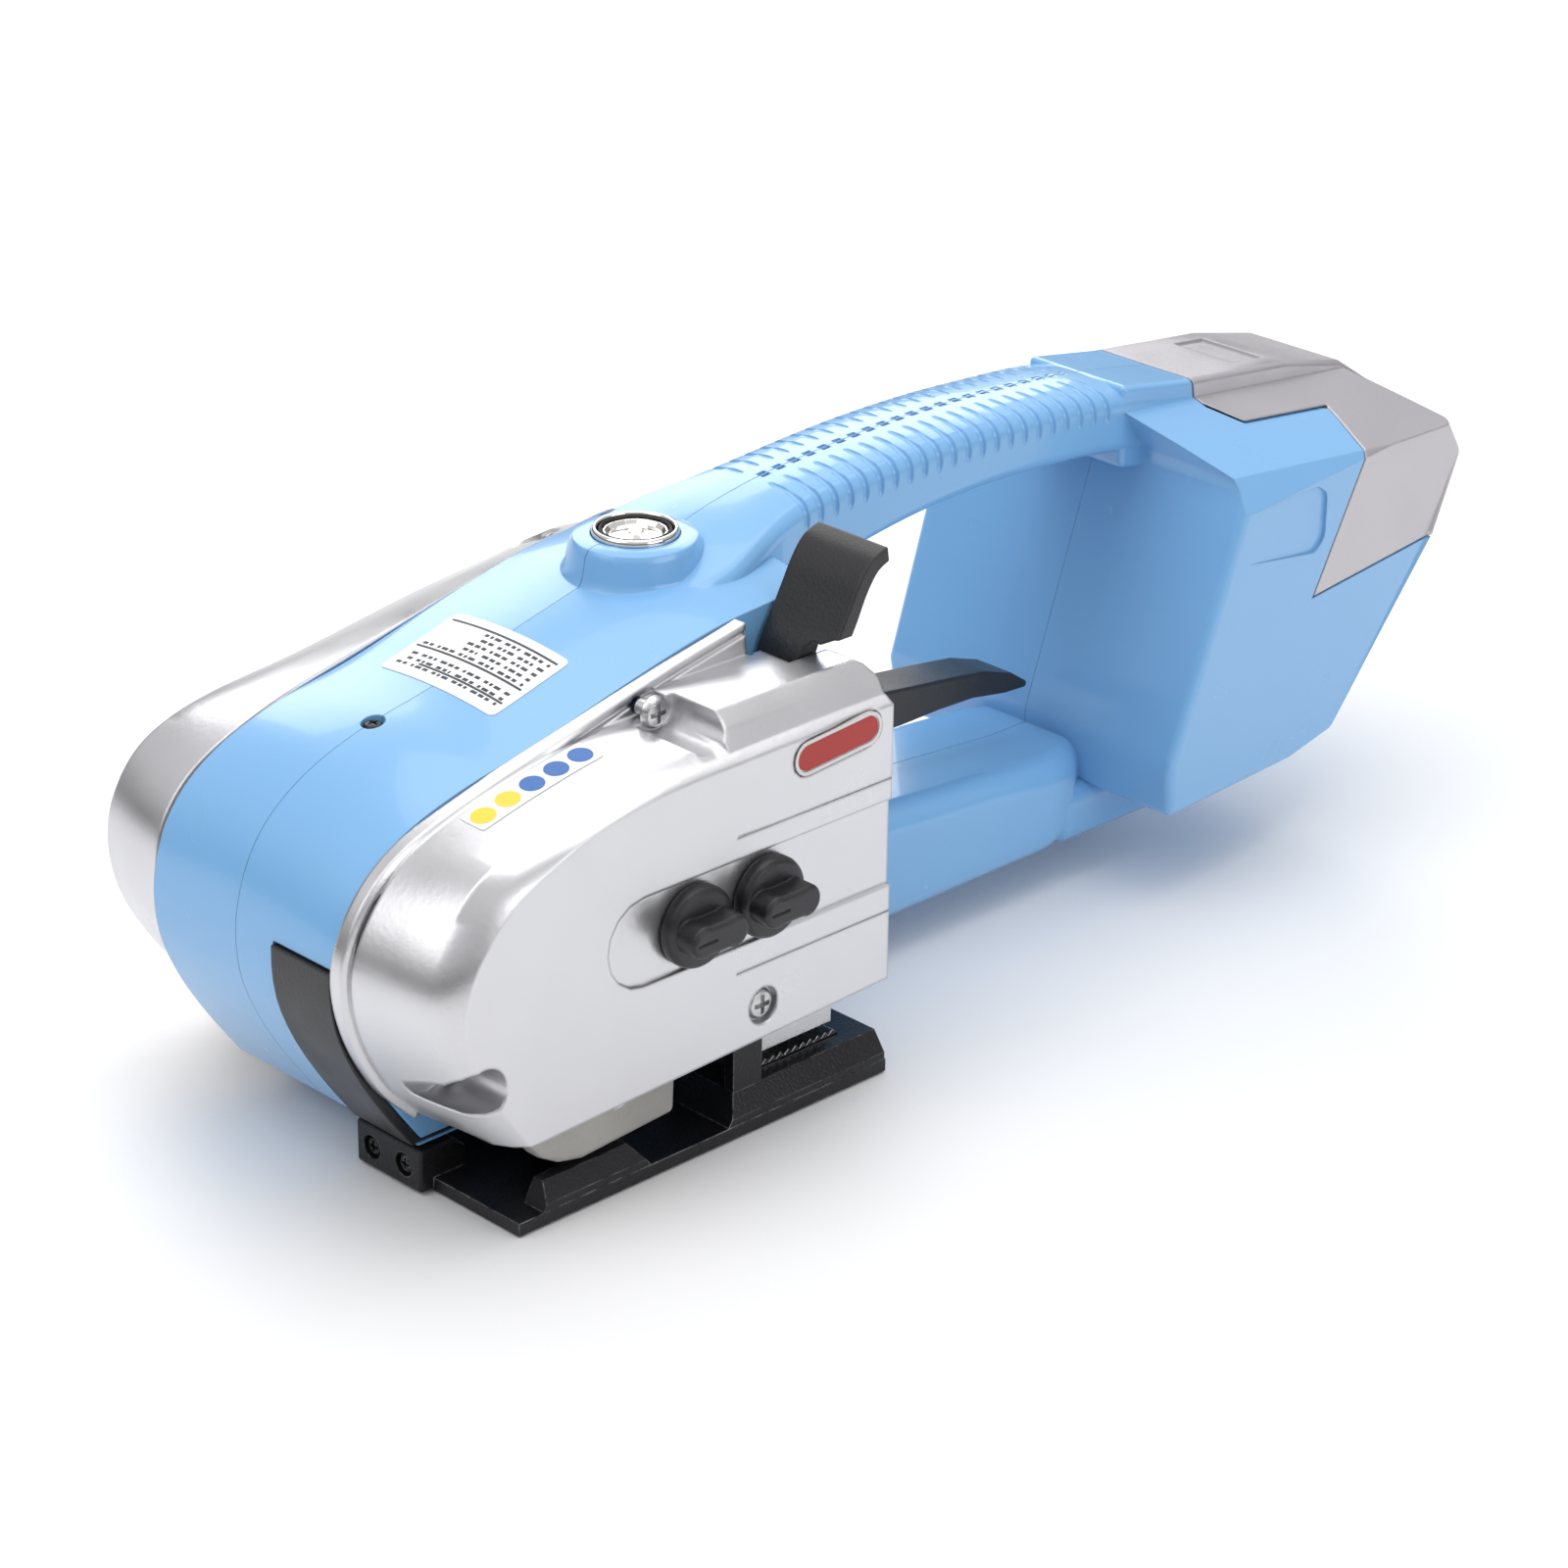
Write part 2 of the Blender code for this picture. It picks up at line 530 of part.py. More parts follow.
def housing():
    left = half_shell("housing_left", -1)
    right = half_shell("housing_right", 1)
    recess = guard_shape("guard_recess", BLUE, 3.0, 1.7, (-60, 12.6), (-13.0, 62.6))
    cut(left, recess)
    shaft_holes = [rod("drive_hole", (DRIVE_AXIS[0], -40, DRIVE_AXIS[2]), "Y", 20, 7.5, BLUE),
                   rod("eccentric_hole", (ECCENTRIC_AXIS[0], -40, ECCENTRIC_AXIS[2]), "Y", 20, 7.0, BLUE)]
    cut(left, *shaft_holes)
    x, _, z = TRIGGER_AXIS
    for shell, low, high in ((left, -15.4, -10.3), (right, 10.0, 14.4)):
        lug = rounded(box("pivot_lug_%d" % high, (x - 5, low, z - 5), (BODY_REAR_X - 1, high, z + 5),
                          BLUE), 1.0, 1)
        join(shell, lug)
        cut(shell, rod("pivot_hole_%d" % high, (x, low - 2, z), "Y", high - low + 4, 2.8, BLUE, segments=16))
    cut(right, box("motor_window", (-66, 20, 16.8), (18, 40, 70), BLUE))
    cut(right, rod("motor_clearance", (10, MOTOR_AXIS[1], MOTOR_AXIS[2]), "X", 60, MOTOR_RADIUS + 0.6, BLUE))
    left_posts = (STRAP_SCREWS[1],)
    right_posts = (MOTOR_SCREWS[1], MOTOR_SCREWS[2])
    for shell, side, seam, posts, screws in ((left, -1, STRAP_SEAM_Y, left_posts, STRAP_SCREWS[:2]),
                                             (right, 1, MOTOR_SEAM_Y, right_posts, MOTOR_SCREWS)):
        for label, x, z, seat, _, _, _ in posts:
            root = seam - side * 1.5
            tip = seat - side * 2.8
            join(shell, rod("post_" + label, (x, min(root, tip), z), "Y", abs(tip - root), 3.2, BLUE,
                            segments=16))
        for label, x, z, seat, _, _, length in screws:
            start = seat
            stop = seat - side * (length + 1)
            cut(shell, rod("pilot_" + label, (x, min(start, stop), z), "Y", abs(stop - start),
                           COVER_SHANK + GAP, BLUE,
                           segments=12))
    cut(right, rod("socket_hole", (99.5, 10, 27), "Y", 30, 6.4, BLUE, segments=20))
    return left, right


def battery_cap():
    cap = outline_solid("battery_cap", inset(list(CAP_EDGE), 0.0), -79, 79, SILVER)
    combine(cap, OUTER_BATTERY, "INTERSECT")
    cut(cap, INNER_BATTERY)
    mouth = [(210.5, 140), (199, 140), (199, 117.2), (210.5, 116)]
    return cut(cap, outline_solid("cap_top_recess", [(x, z + 2.2) for x, z in mouth], -10, 10, SILVER))


# ---------------------------------------------------------------- covers


def cover_rings(sections, floor, rear, shrink=0.0, open_floor=False):
    """Rings of a cover; each section is a depth along Y and an outline from the rear over the nose."""
    rings = []
    for y, line in sections:
        line = [(min(x, rear), z) for x, z in line]
        closed = smooth(line) + [(line[-1][0] + 2, floor[0]), (rear, floor[1])]
        ring = inset(closed, shrink) if shrink else closed
        if open_floor:
            ring = ring[:-3] + [(x, z - 12) for x, z in ring[-3:]]
        rings.append([(x, y, z) for x, z in ring])
    return rings


def screw_seats(cover, hollow, screws, side):
    """Leaves material round each screw when the cover is hollowed, then sinks its head and drills it."""
    for label, x, z, seat, radius, lift, _ in screws:
        floor = seat - side * 2.4
        cut(hollow, rod("boss_" + label, (x, min(floor, side * 90), z + lift), "Y", 90 - abs(floor),
                        radius + 1.7,
                        SILVER))
    cut(cover, hollow)
    for label, x, z, seat, radius, lift, _ in screws:
        cut(cover, rod("sink_" + label, (x, min(seat, side * 90), z + lift), "Y", 90 - abs(seat),
                       radius, SILVER))
        cut(cover, rod("drill_" + label, (x, min(seat + side * 2, seat - side * 14), z), "Y", 16,
                       COVER_SHANK + GAP,
                       SILVER, segments=12))


def strap_cover():
    sections = ((STRAP_SEAM_Y - GAP, STRAP_LIP), (-37.7, STRAP_LIP), (-38.5, STRAP_INNER),
                (-49, mid_line(STRAP_INNER, STRAP_BAND, 0.4)), (-59.5, STRAP_BAND),
                (-63.5, mid_line(STRAP_BAND, STRAP_FACE, 0.45)), (-65.4, mid_line(STRAP_BAND,
                                                                                  STRAP_FACE, 0.85)),
                (STRAP_FACE_Y, STRAP_FACE))
    cover = loft("strap_cover", cover_rings(sections, STRAP_FLOOR, COVER_REAR_X), SILVER)
    across = [(-36.5, 94), (-36.5, 104.4), (-56.4, 104.3), (-60.6, 101), (-64.8, 94)]
    along = [(-30.5, 94), (-30.5, 105), (13, 105), (16.6, 103.2), (COVER_REAR_X, 100), (COVER_REAR_X, 94)]
    block = outline_solid("rear_step", across, -40, 30, SILVER, axis="X")
    combine(block, outline_solid("rear_step_side", along, -70, -30, SILVER), "INTERSECT")
    join(cover, block)
    hollow_sections = ((-30, inset_line(STRAP_INNER, 0.6)), (-49, mid_line(STRAP_INNER, STRAP_BAND, 0.4)),
                       (-59, mid_line(STRAP_BAND, STRAP_FACE, 0.15)), (-63.8, STRAP_FACE))
    hollow = loft("strap_cover_hollow", cover_rings(hollow_sections, STRAP_FLOOR, COVER_REAR_X,
                                                    COVER_WALL, True),
                  SILVER)
    screw_seats(cover, hollow, STRAP_SCREWS, -1)
    track = arc((-58, 60.8), 10.8, 90, 270, 8) + [(40, 50), (40, 71.6)]
    cut(cover, outline_solid("knob_track", track, -80, STRAP_FACE_Y + 0.9, SILVER))
    cut(cover, rod("tension_hole", (TENSION_KNOB_AXIS[0], -80, TENSION_KNOB_AXIS[2]), "Y", 30, 3.6, SILVER))
    cut(cover, rod("weld_hole", (WELD_KNOB_AXIS[0], -80, WELD_KNOB_AXIS[2]), "Y", 30, 3.6, SILVER))
    x, _, z = LEVER_AXIS
    cut(cover, box("lever_slot", (2.8, -48.2, 90), (30, -38.6, 130), SILVER))
    cut(cover, box("lever_slot_seam", (-1.0, -38.7, 90), (30, -30, 130), SILVER))
    cut(cover, rod("lever_pin_bore", (x, -55.4, z), "Y", 10, 2.6, SILVER, segments=16))
    badge_seat = arc((10.5, 91.4), 4.6, -90, 90, 6) + arc((-8.5, 90.0), 4.6, 90, 270, 6)
    cut(cover, outline_solid("badge_seat", badge_seat, -80, STRAP_FACE_Y + 0.8, SILVER))
    return cover


def mid_line(first, second, share):
    return tuple((a[0] + (b[0] - a[0]) * share, a[1] + (b[1] - a[1]) * share) for a, b in zip(first, second))


def inset_line(line, distance):
    """An open outline moved towards the inside of the tool."""
    closed = list(line) + [(line[0][0], 0)]
    return tuple(inset(closed, distance)[:len(line)])


# Cover screws as (name, x, z, y of the seat, radius of the channel, height of the channel above the
# screw, length)
STRAP_SCREWS = (("strap_cover_screw_top", -34.6, 101.7, -43.0, 6.3, 1.8, 14.0),
                ("strap_cover_screw_nose", -104.5, 39.5, -46.0, 6.4, 0.0, 12.0),
                ("strap_cover_screw_low", -21.5, 32.7, -63.4, 4.6, 0.0, 7.6))
MOTOR_SCREWS = (("motor_cover_screw_top", 11.0, 104.0, 41.0, 4.4, 0.4, 12.0),
                ("motor_cover_screw_nose", -105.5, 62.5, 43.0, 5.4, 0.0, 12.0),
                ("motor_cover_screw_low", -9.5, 13.4, 63.4, 4.6, 0.0, 8.0))
HEAD_RADIUS = 3.9
HEAD_HEIGHT = 2.1
COVER_SHANK = 1.8


def motor_cover():
    sections = ((MOTOR_SEAM_Y + GAP, MOTOR_SEAM), (34.2, MOTOR_LIP), (35.2, inset_line(MOTOR_LIP, 0.8)),
                (47, mid_line(MOTOR_LIP, MOTOR_BAND, 0.5)), (57, MOTOR_BAND),
                (62.0, mid_line(MOTOR_BAND, MOTOR_FACE, 0.45)), (65.2, mid_line(MOTOR_BAND, MOTOR_FACE,
                                                                                0.85)),
                (MOTOR_FACE_Y, MOTOR_FACE))
    cover = loft("motor_cover", cover_rings(sections, MOTOR_FLOOR, MOTOR_COVER_REAR_X), SILVER)
    hollow_sections = ((26, inset_line(MOTOR_SEAM, 2.5)), (35, inset_line(MOTOR_LIP, 0.7)),
                       (47, mid_line(MOTOR_LIP, MOTOR_BAND, 0.5)), (57, mid_line(MOTOR_BAND,
                                                                                 MOTOR_FACE, 0.1)),
                       (63.8, mid_line(MOTOR_BAND, MOTOR_FACE, 0.95)))
    hollow = loft("motor_cover_hollow", cover_rings(hollow_sections, MOTOR_FLOOR, MOTOR_COVER_REAR_X,
                                                    COVER_WALL),
                  SILVER)
    screw_seats(cover, hollow, MOTOR_SCREWS, 1)
    return cut(cover, rod("motor_opening", (16, MOTOR_AXIS[1], MOTOR_AXIS[2]), "X", 20,
                          MOTOR_RADIUS + 0.6, SILVER))


# End cap of the motor, seen from the rear, as (y, z)
END_CAP = ((24, 12), (36, 8.5), (49, 8.5), (55.5, 12), (60.6, 32), (60.6, 57), (56, 65), (48, 70.5),
           (34, 70.5),
           (24, 64))


def end_cap_rings(shrink, start, end):
    """Sections from front to rear; the rear is rounded off, most of all at its top."""
    rings = []
    stations = ((start, 0, 0), (50, 0, 0), (57, 3.0, 0.8), (63.5, 8.5, 2.2), (67.8, 13.5, 4.4), (70, 17.0, 7.4))
    for x, drop, pull in stations:
        section = inset(list(END_CAP), shrink + pull)
        top = 71.0 - shrink - drop
        rings.append([(min(x, end), y, min(z, top - abs(y - 42) * 0.12 * drop / 17)) for y, z in section])
    return rings


def motor_end_cap():
    cap = loft("motor_end_cap", end_cap_rings(0, MOTOR_COVER_REAR_X + GAP, 70), SILVER)
    cut(cap, loft("end_cap_hollow", end_cap_rings(2.2, 10, 70)[:-1], SILVER))
    for x in (50.5, 57.5):
        for z in (22.0, 34.0, 46.0):
            cut(cap, box("vent_%d_%d" % (x, z), (x, 50, z), (x + 3.2, 75, z + 9), SILVER))
    for x in (34.0, 42.0):
        cut(cap, box("low_vent_%d" % x, (x, 50, 13), (x + 6, 75, 16), SILVER))
    return cap


def nose_guard():
    return guard_shape("nose_guard", BLACK, 0.9, 1.4, (STRAP_SEAM_Y + 0.5, 13.2), (-13.4, 62.0), -84.4)


# ---------------------------------------------------------------- controls


def start_button_set():
    bezel = [(10.2, 1.4), (10.3, 0.8), (10.3, -0.9), (9.0, -0.9), (9.0, 1.0), (9.4, 1.6), (9.9, 1.6)]
    turned("button_bezel", bezel, (0, 0, BOSS_TOP_Z), "Z", CHROME, segments=32)
    face = [(0, 1.2), (2.2, 1.0), (7.2, 0.1), (8.0, 0.9), (BUTTON_RADIUS, 0.2), (BUTTON_RADIUS, -6.0),
            (5.0, -6.0), (5.0, -7.5), (2.6, -7.5), (2.6, -13.0), (0, -13.0)]
    turned("start_button", face, (0, 0, BOSS_TOP_Z), "Z", CHROME, segments=28)
    switch = [(11.0, 0), (11.0, -10), (3.1, -10), (3.1, -2), (7.6, -2), (7.6, 0)]
    turned("start_switch", switch, (0, 0, 104.5), "Z", BLACK, segments=20)
    coil("button_spring", (0, 0, 103.6), "Z", 4.2, 0.9, 3.0, 10.4, STEEL)


def weld_lever():
    """A thin curved thumb plate, wider above the cover, on a hub round its pin."""
    x, _, z = LEVER_AXIS
    front = smooth([(4.6, 101), (6.4, 106), (9.6, 111.5), (12.9, 117.5), (16, 123), (19.6, 127.2),
                    (24.6, 129.2)])
    back = smooth([(25.2, 125.6), (21.6, 123.8), (18.4, 119.6), (15.4, 113.6), (12.6, 108), (11, 101)])
    hub = arc((x, z), 4.8, 10, -190, 9)
    plate = outline_solid("weld_lever", front + back + hub, -57.4, -35.0, BLACK, origin=LEVER_AXIS)
    rounded(plate, 1.1, 2, 50)
    notch = [(-60, 85), (-60, 111.0), (-56.4, 110.4), (-53, 108.6), (-50.4, 108.6), (-48.2, 106.6),
             (-47.6, 103),
             (-47.6, 85)]
    corner = [(-60, 127), (-54.4, 132), (-60, 135)]
    cut(plate, outline_solid("lever_notch", notch, -10, 40, BLACK, axis="X"),
        outline_solid("lever_corner", corner, -10, 40, BLACK, axis="X"),
        rod("lever_bore", (x, -60, z), "Y", 40, 2.6, BLACK, segments=16))
    rod("weld_lever_pin", (x, -55, z), "Y", 20.4, 2.3, STEEL, segments=16)
    return plate


def lift_trigger():
    x, y, z = TRIGGER_AXIS
    profile = [(5, 62), (10, 66.5), (30, 67.2), (62, 65.6), (84, 62.6), (97, 61), (110, 59.2), (120, 56),
               (126, 52), (125.4, 50.6), (118, 51), (106, 53), (94, 53.4), (80, 53.2), (62, 53.8), (40, 52.2), (22, 50),
               (9, 50.5), (5, 54)]
    trigger = outline_solid("lift_trigger", profile, y - 6.5, y + 6.5, BLACK, origin=TRIGGER_AXIS)
    rounded(trigger, 1.8, 2, 40)
    cut(trigger, rod("trigger_bore", (x, y - 12, z), "Y", 24, 2.55, BLACK, segments=16))
    rod("trigger_pin", (x, y - 11.5, z), "Y", 27, 2.5, STEEL, segments=16)
    coil("trigger_spring", (x, 4.6, z), "Y", 4.4, 1.0, 3.0, 4.4, STEEL)
    return trigger


def knob(name, axis):
    """A rotary knob with a grip bar; its spindle reaches the potentiometer behind the cover."""
    disc = [(0, 3.6), (8.8, 3.6), (9.7, 2.8), (9.8, 1.8), (9.8, -0.2), (9.4, -0.6), (3.0, -0.6), (3.0,
                                                                                                  -12.0),
            (0, -12.0)]
    base = turned(name, disc, axis, "Y", BLACK, segments=24, flip=True)
    x, y, z = axis
    waist = arc((x - 5.2, z), 3.9, 60, 300, 6) + arc((x + 5.2, z), 3.9, -120, 120, 6)
    bar = rounded(outline_solid(name + "_bar", waist, y - 9.4, y - 2.0, BLACK), 0.8, 2, 50)
    join(base, bar)
    return base


def potentiometer(name, axis):
    body = [(8.2, 0), (8.2, 9), (3.4, 9), (3.4, 0)]
    turned(name, body[::-1], (axis[0], axis[1] + 3.0, axis[2]), "Y", STEEL, segments=16)


def knobs():
    knob("tension_knob", TENSION_KNOB_AXIS)
    knob("weld_time_knob", WELD_KNOB_AXIS)
    potentiometer("tension_pot", TENSION_KNOB_AXIS)
    potentiometer("weld_time_pot", WELD_KNOB_AXIS)


# ---------------------------------------------------------------- base and strap drive


def base_plate():
    plate = box("base_plate", (-93.7, -64, 0), (20.7, -12.8, 3.2), BLACK_STEEL)
    front_rail = [(-86.5, 1), (-86.5, 3), (-82, 12), (-61, 12), (-54, 3), (-54, 1)]
    rail = outline_solid("front_rail", [(-63.9, 1), (-63.9, 5), (-60.4, 8.8), (-57.4, 8.8), (-57.4,
                                                                                             1)], -95, -40,
                         BLACK_STEEL, axis="X")
    combine(rail, outline_solid("front_rail_side", front_rail, -80, -40, BLACK_STEEL), "INTERSECT")
    rear_block = [(-30, 1), (-30, 3.4), (-24, 12), (20.4, 12), (20.4, 1)]
    block = outline_solid("rear_block", [(-63.9, 1), (-63.9, 5), (-60.4, 9.8), (-31, 9.8), (-31, 1)],
                          -40, 30,
                          BLACK_STEEL, axis="X")
    combine(block, outline_solid("rear_block_side", rear_block, -80, -20, BLACK_STEEL), "INTERSECT")
    bracket = [(-97.5, 0.2), (-97.5, 11.0), (-88, 11.0), (-84, 8), (-84, 0.2)]
    nose = rounded(outline_solid("nose_bracket", bracket, -35.2, -12.9, BLACK_STEEL), 0.8, 1, 50)
    tab = box("screw_tab", (-25.6, -60.6, 8), (-16.6, -57.7, 38), BLACK_STEEL)
    join(plate, rail, block, nose, tab)
    cut(plate, rod("tab_hole", (-21.5, -70, 32.7), "Y", 20, COVER_SHANK + GAP, BLACK_STEEL, segments=12))
    cut(plate, box("tooth_seat", (-17.4, -56.4, 7.9), (12.4, -36.6, 20), BLACK_STEEL))
    for y in (-18.4, -29.4):
        cut(plate, rod("bracket_hole_%d" % -y, (-110, y, 5.6), "X", 22, 1.9, BLACK_STEEL, segments=12),
            rod("bracket_sink_%d" % -y, (-110, y, 5.6), "X", 14.2, 2.9, BLACK_STEEL, segments=12))
    return plate


def tooth_plate():
    teeth = [(-17, 8.2), (-17, 10.2)]
    count = 12
    pitch = 29.0 / count
    for i in range(count):
        start = -17 + i * pitch
        teeth += [(start + pitch * 0.55, 11.4), (start + pitch, 10.2)]
    teeth += [(12, 8.2)]
    return outline_solid("tooth_plate", teeth, -56.0, -37.0, STEEL)


def gear(name, x, z, y_low, y_high, radius, bore, teeth, material, depth=1.6):
    """A spur gear about an axis along Y, with a bore for its shaft."""
    outline = []
    for i in range(teeth):
        angle = 360.0 * i / teeth
        outline += arc((x, z), radius + depth / 2, angle - 45.0 / teeth, angle + 45.0 / teeth, 1)
        outline += arc((x, z), radius - depth / 2, angle + 135.0 / teeth, angle + 225.0 / teeth, 1)
    wheel = outline_solid(name, outline, y_low, y_high, material, origin=(x, 0, z))
    return cut(wheel, rod(name + "_bore", (x, y_low - 2, z), "Y", y_high - y_low + 4, bore, material,
                          segments=16))


def strap_drive():
    dx, _, dz = DRIVE_AXIS
    wx, _, wz = WHEEL_AXIS
    # Rocker: an arm from the drive shaft to the wheel shaft, with a curved foot over the strap
    foot = [(-88.5, 22), (-87.5, 18.6), (-84, 14.4), (-78.5, 11.2), (-72, 9.8), (-44, 11.6), (-43.6, 20)]
    arm = foot + [(dx + 4, dz - 11.6)] + arc((dx, dz), 12.0, -60, 100, 8) + [(wx - 6, wz + 17), (-84, 30)]
    rocker = outline_solid("rocker_arm", arm, -60.6, -54.6, CAST, origin=DRIVE_AXIS)
    rounded(rocker, 1.2, 2, 40)
    cut(rocker, rod("rocker_bore", (dx, -70, dz), "Y", 30, 6.2, CAST),
        rod("rocker_wheel_bore", (wx, -70, wz), "Y", 30, 4.1, CAST))
    rod("rocker_bush", (dx, -60.6, dz), "Y", 6.0, 5.9, COPPER, origin=DRIVE_AXIS)
    cut(bpy.data.objects["rocker_bush"], rod("bush_bore", (dx, -70, dz), "Y", 30, 4.1, COPPER))
    # Tension wheel, its shaft and its gear
    rim = [(18.0, 7.0), (18.0, -7.0), (4.3, -7.0), (4.3, 7.0)]
    turned("tension_wheel", rim, (wx, -46.6, wz), "Y", STEEL, segments=36)
    rod("wheel_shaft", (wx, -62.0, wz), "Y", 26.0, 4.0, STEEL, origin=WHEEL_AXIS)
    gear("wheel_gear", wx, wz, -39.2, -36.6, 12.4, 4.3, 24, STEEL, depth=1.0)
    # Drive shaft through the gear housing
    rod("drive_shaft", (dx, -62.0, dz), "Y", 89.0, 4.0, STEEL, origin=DRIVE_AXIS)
    gear("drive_gear", dx, dz, -39.2, -36.6, 14.4, 4.3, 28, STEEL, depth=1.0)
    crown = [(17.0, 3.5), (17.0, 0.5), (9.0, -3.0), (4.3, -3.0), (4.3, 3.5)]
    turned("bevel_gear", crown, (dx, 20.0, dz), "Y", STEEL, segments=30)


def weld_drive():
    ex, _, ez = ECCENTRIC_AXIS
    shoe = [(-15.5, 13.0), (11.0, 13.0), (11.0, 19.0), (6, 25), (6, 33.4), (-9.6, 33.4), (-9.6, 25),
            (-15.5, 19)]
    head = outline_solid("weld_head", shoe, -56, -37, STEEL)
    rounded(head, 0.8, 1, 50)
    rod("eccentric_shaft", (ex, -58, ez), "Y", 74, 4.0, STEEL, origin=ECCENTRIC_AXIS)
    lobe = rod("eccentric_lobe", (ex + 1.0, -52, ez), "Y", 12, 5.0, STEEL)
    join(bpy.data.objects["eccentric_shaft"], lobe)
    blade = [(-23.4, 14.0), (-21.6, 12.2), (-21.6, 31), (-23.4, 31)]
    outline_solid("cutter_blade", blade, -57, -36.6, STEEL)


def gear_housing():
    outline = [(-92, 18), (6, 18), (8, 30), (8, 46), (2, 52), (2, 66), (-10, 78), (-80, 76), (-98, 62),
               (-104, 46)]
    casting = outline_solid("gear_housing", outline, -29.5, 6.0, CAST)
    rounded(casting, 1.5, 1, 30)
    dx, _, dz = DRIVE_AXIS
    ex, _, ez = ECCENTRIC_AXIS
    cut(casting, rod("casting_drive_bore", (dx, -50, dz), "Y", 80, 4.4, CAST),
        rod("casting_eccentric_bore", (ex, -50, ez), "Y", 80, 4.4, CAST),
        rod("casting_pocket", (dx, -6, dz), "Y", 30, 16.0, CAST, segments=24))
    return casting


def motor():
    x, y, z = MOTOR_AXIS
    can = [(MOTOR_RADIUS, 54), (MOTOR_RADIUS, -8), (3.4, -8), (3.4, 54)]
    turned("motor_can", can, MOTOR_AXIS, "X", BLACK_STEEL, segments=28)
    rod("rotor_shaft", (-26, y, z), "X", 86, 3.0, STEEL, origin=MOTOR_AXIS)
    pinion = rod("pinion_cone", (-20, y, z), "X", 9, 8.0, STEEL, end_radius=5.0, segments=20)
    join(bpy.data.objects["rotor_shaft"], pinion)


# ---------------------------------------------------------------- battery and electronics


def battery_pack():
    for number, (x, z) in enumerate(CELL_CENTRES, start=1):
        rod("battery_cell_%d" % number, (x, -CELL_LENGTH / 2, z), "Y", CELL_LENGTH, CELL_RADIUS, CELL,
            segments=20)
    tray = box("cell_tray", (152, -36, 25.6), (189, 36, 28.4), BLACK)
    return rounded(tray, 0.8, 1, 50)


def electronics():
    board = box("control_board", (52, -17, 14), (92, 14, 15.6), GREEN)
    chip = box("board_chips", (60, -10, 15), (78, 4, 18), GREEN)
    join(board, chip)
    socket = [(5.9, 0.6), (7.6, 0.6), (7.6, -0.2), (6.1, -0.2), (6.1, -12), (3.6, -12), (3.6, -2),
              (5.0, 0.6)]
    part = turned("charging_socket", socket[:1] + socket[1:], (99.5, 23.8, 27), "Y", BLACK, segments=20)
    return part


# ---------------------------------------------------------------- fasteners and labels


def fasteners():
    for screws, side in ((STRAP_SCREWS, -1), (MOTOR_SCREWS, 1)):
        for label, x, z, seat, _, _, length in screws:
            screw(label, (x, seat + side * (HEAD_HEIGHT + GAP), z), "Y", HEAD_RADIUS, COVER_SHANK, length,
                  direction=side)
    for label, x, z in SHELL_SCREWS:
        depth = 12.0 if "bridge" in label else 8.0
        screw(label, (x, depth + 2.5, z), "Y", 3.6, 1.6, 18, direction=1)
    screw("top_screw", (-79, 0, 98.4), "Z", 2.4, 1.3, 12, direction=1)
    for name, y in (("bracket_screw_inner", -18.4), ("bracket_screw_outer", -29.4)):
        screw(name, (-97.2, y, 5.6), "X", 2.5, 1.6, 7, direction=-1)


def label_plate(name, start, end, y_low, y_high, thickness, lift, material):
    """A thin label that lies on a sloping top, from a start to an end given as (x, z)."""
    up = Vector((start[1] - end[1], 0, end[0] - start[0]))
    if up.z < 0:
        up = -up
    up.normalize()
    offset = [Vector((p[0], 0, p[1])) + up * lift for p in (start, end)]
    upper = [p + up * thickness for p in offset]
    outline = [(p.x, p.z) for p in (offset[0], offset[1], upper[1], upper[0])]
    return outline_solid(name, outline, y_low, y_high, material)


def labels():
    label_plate("rating_label", (-38.0, 108.7), (-61.6, 102.1), -20, 19, 0.3, 0.45, WHITE)
    label_plate("icon_label", (-53.5, 98.9), (-88.6, 91.5), -48.2, -40.0, 0.3, 0.6, WHITE)
    badge = arc((10.5, 91.4), 4.2, -90, 90, 6) + arc((-8.5, 90.0), 4.2, 90, 270, 6)
    outline_solid("badge", badge, STRAP_FACE_Y - 0.3, STRAP_FACE_Y + 0.45, STEEL)


housing()
battery_cap()
strap_cover()
motor_cover()
motor_end_cap()
nose_guard()
start_button_set()
weld_lever()
lift_trigger()
knobs()
base_plate()
tooth_plate()
strap_drive()
weld_drive()
gear_housing()
motor()
battery_pack()
electronics()
fasteners()
labels()
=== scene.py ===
import json
import math

import bmesh
import bpy
from mathutils import Matrix, Vector
from mathutils.bvhtree import BVHTree

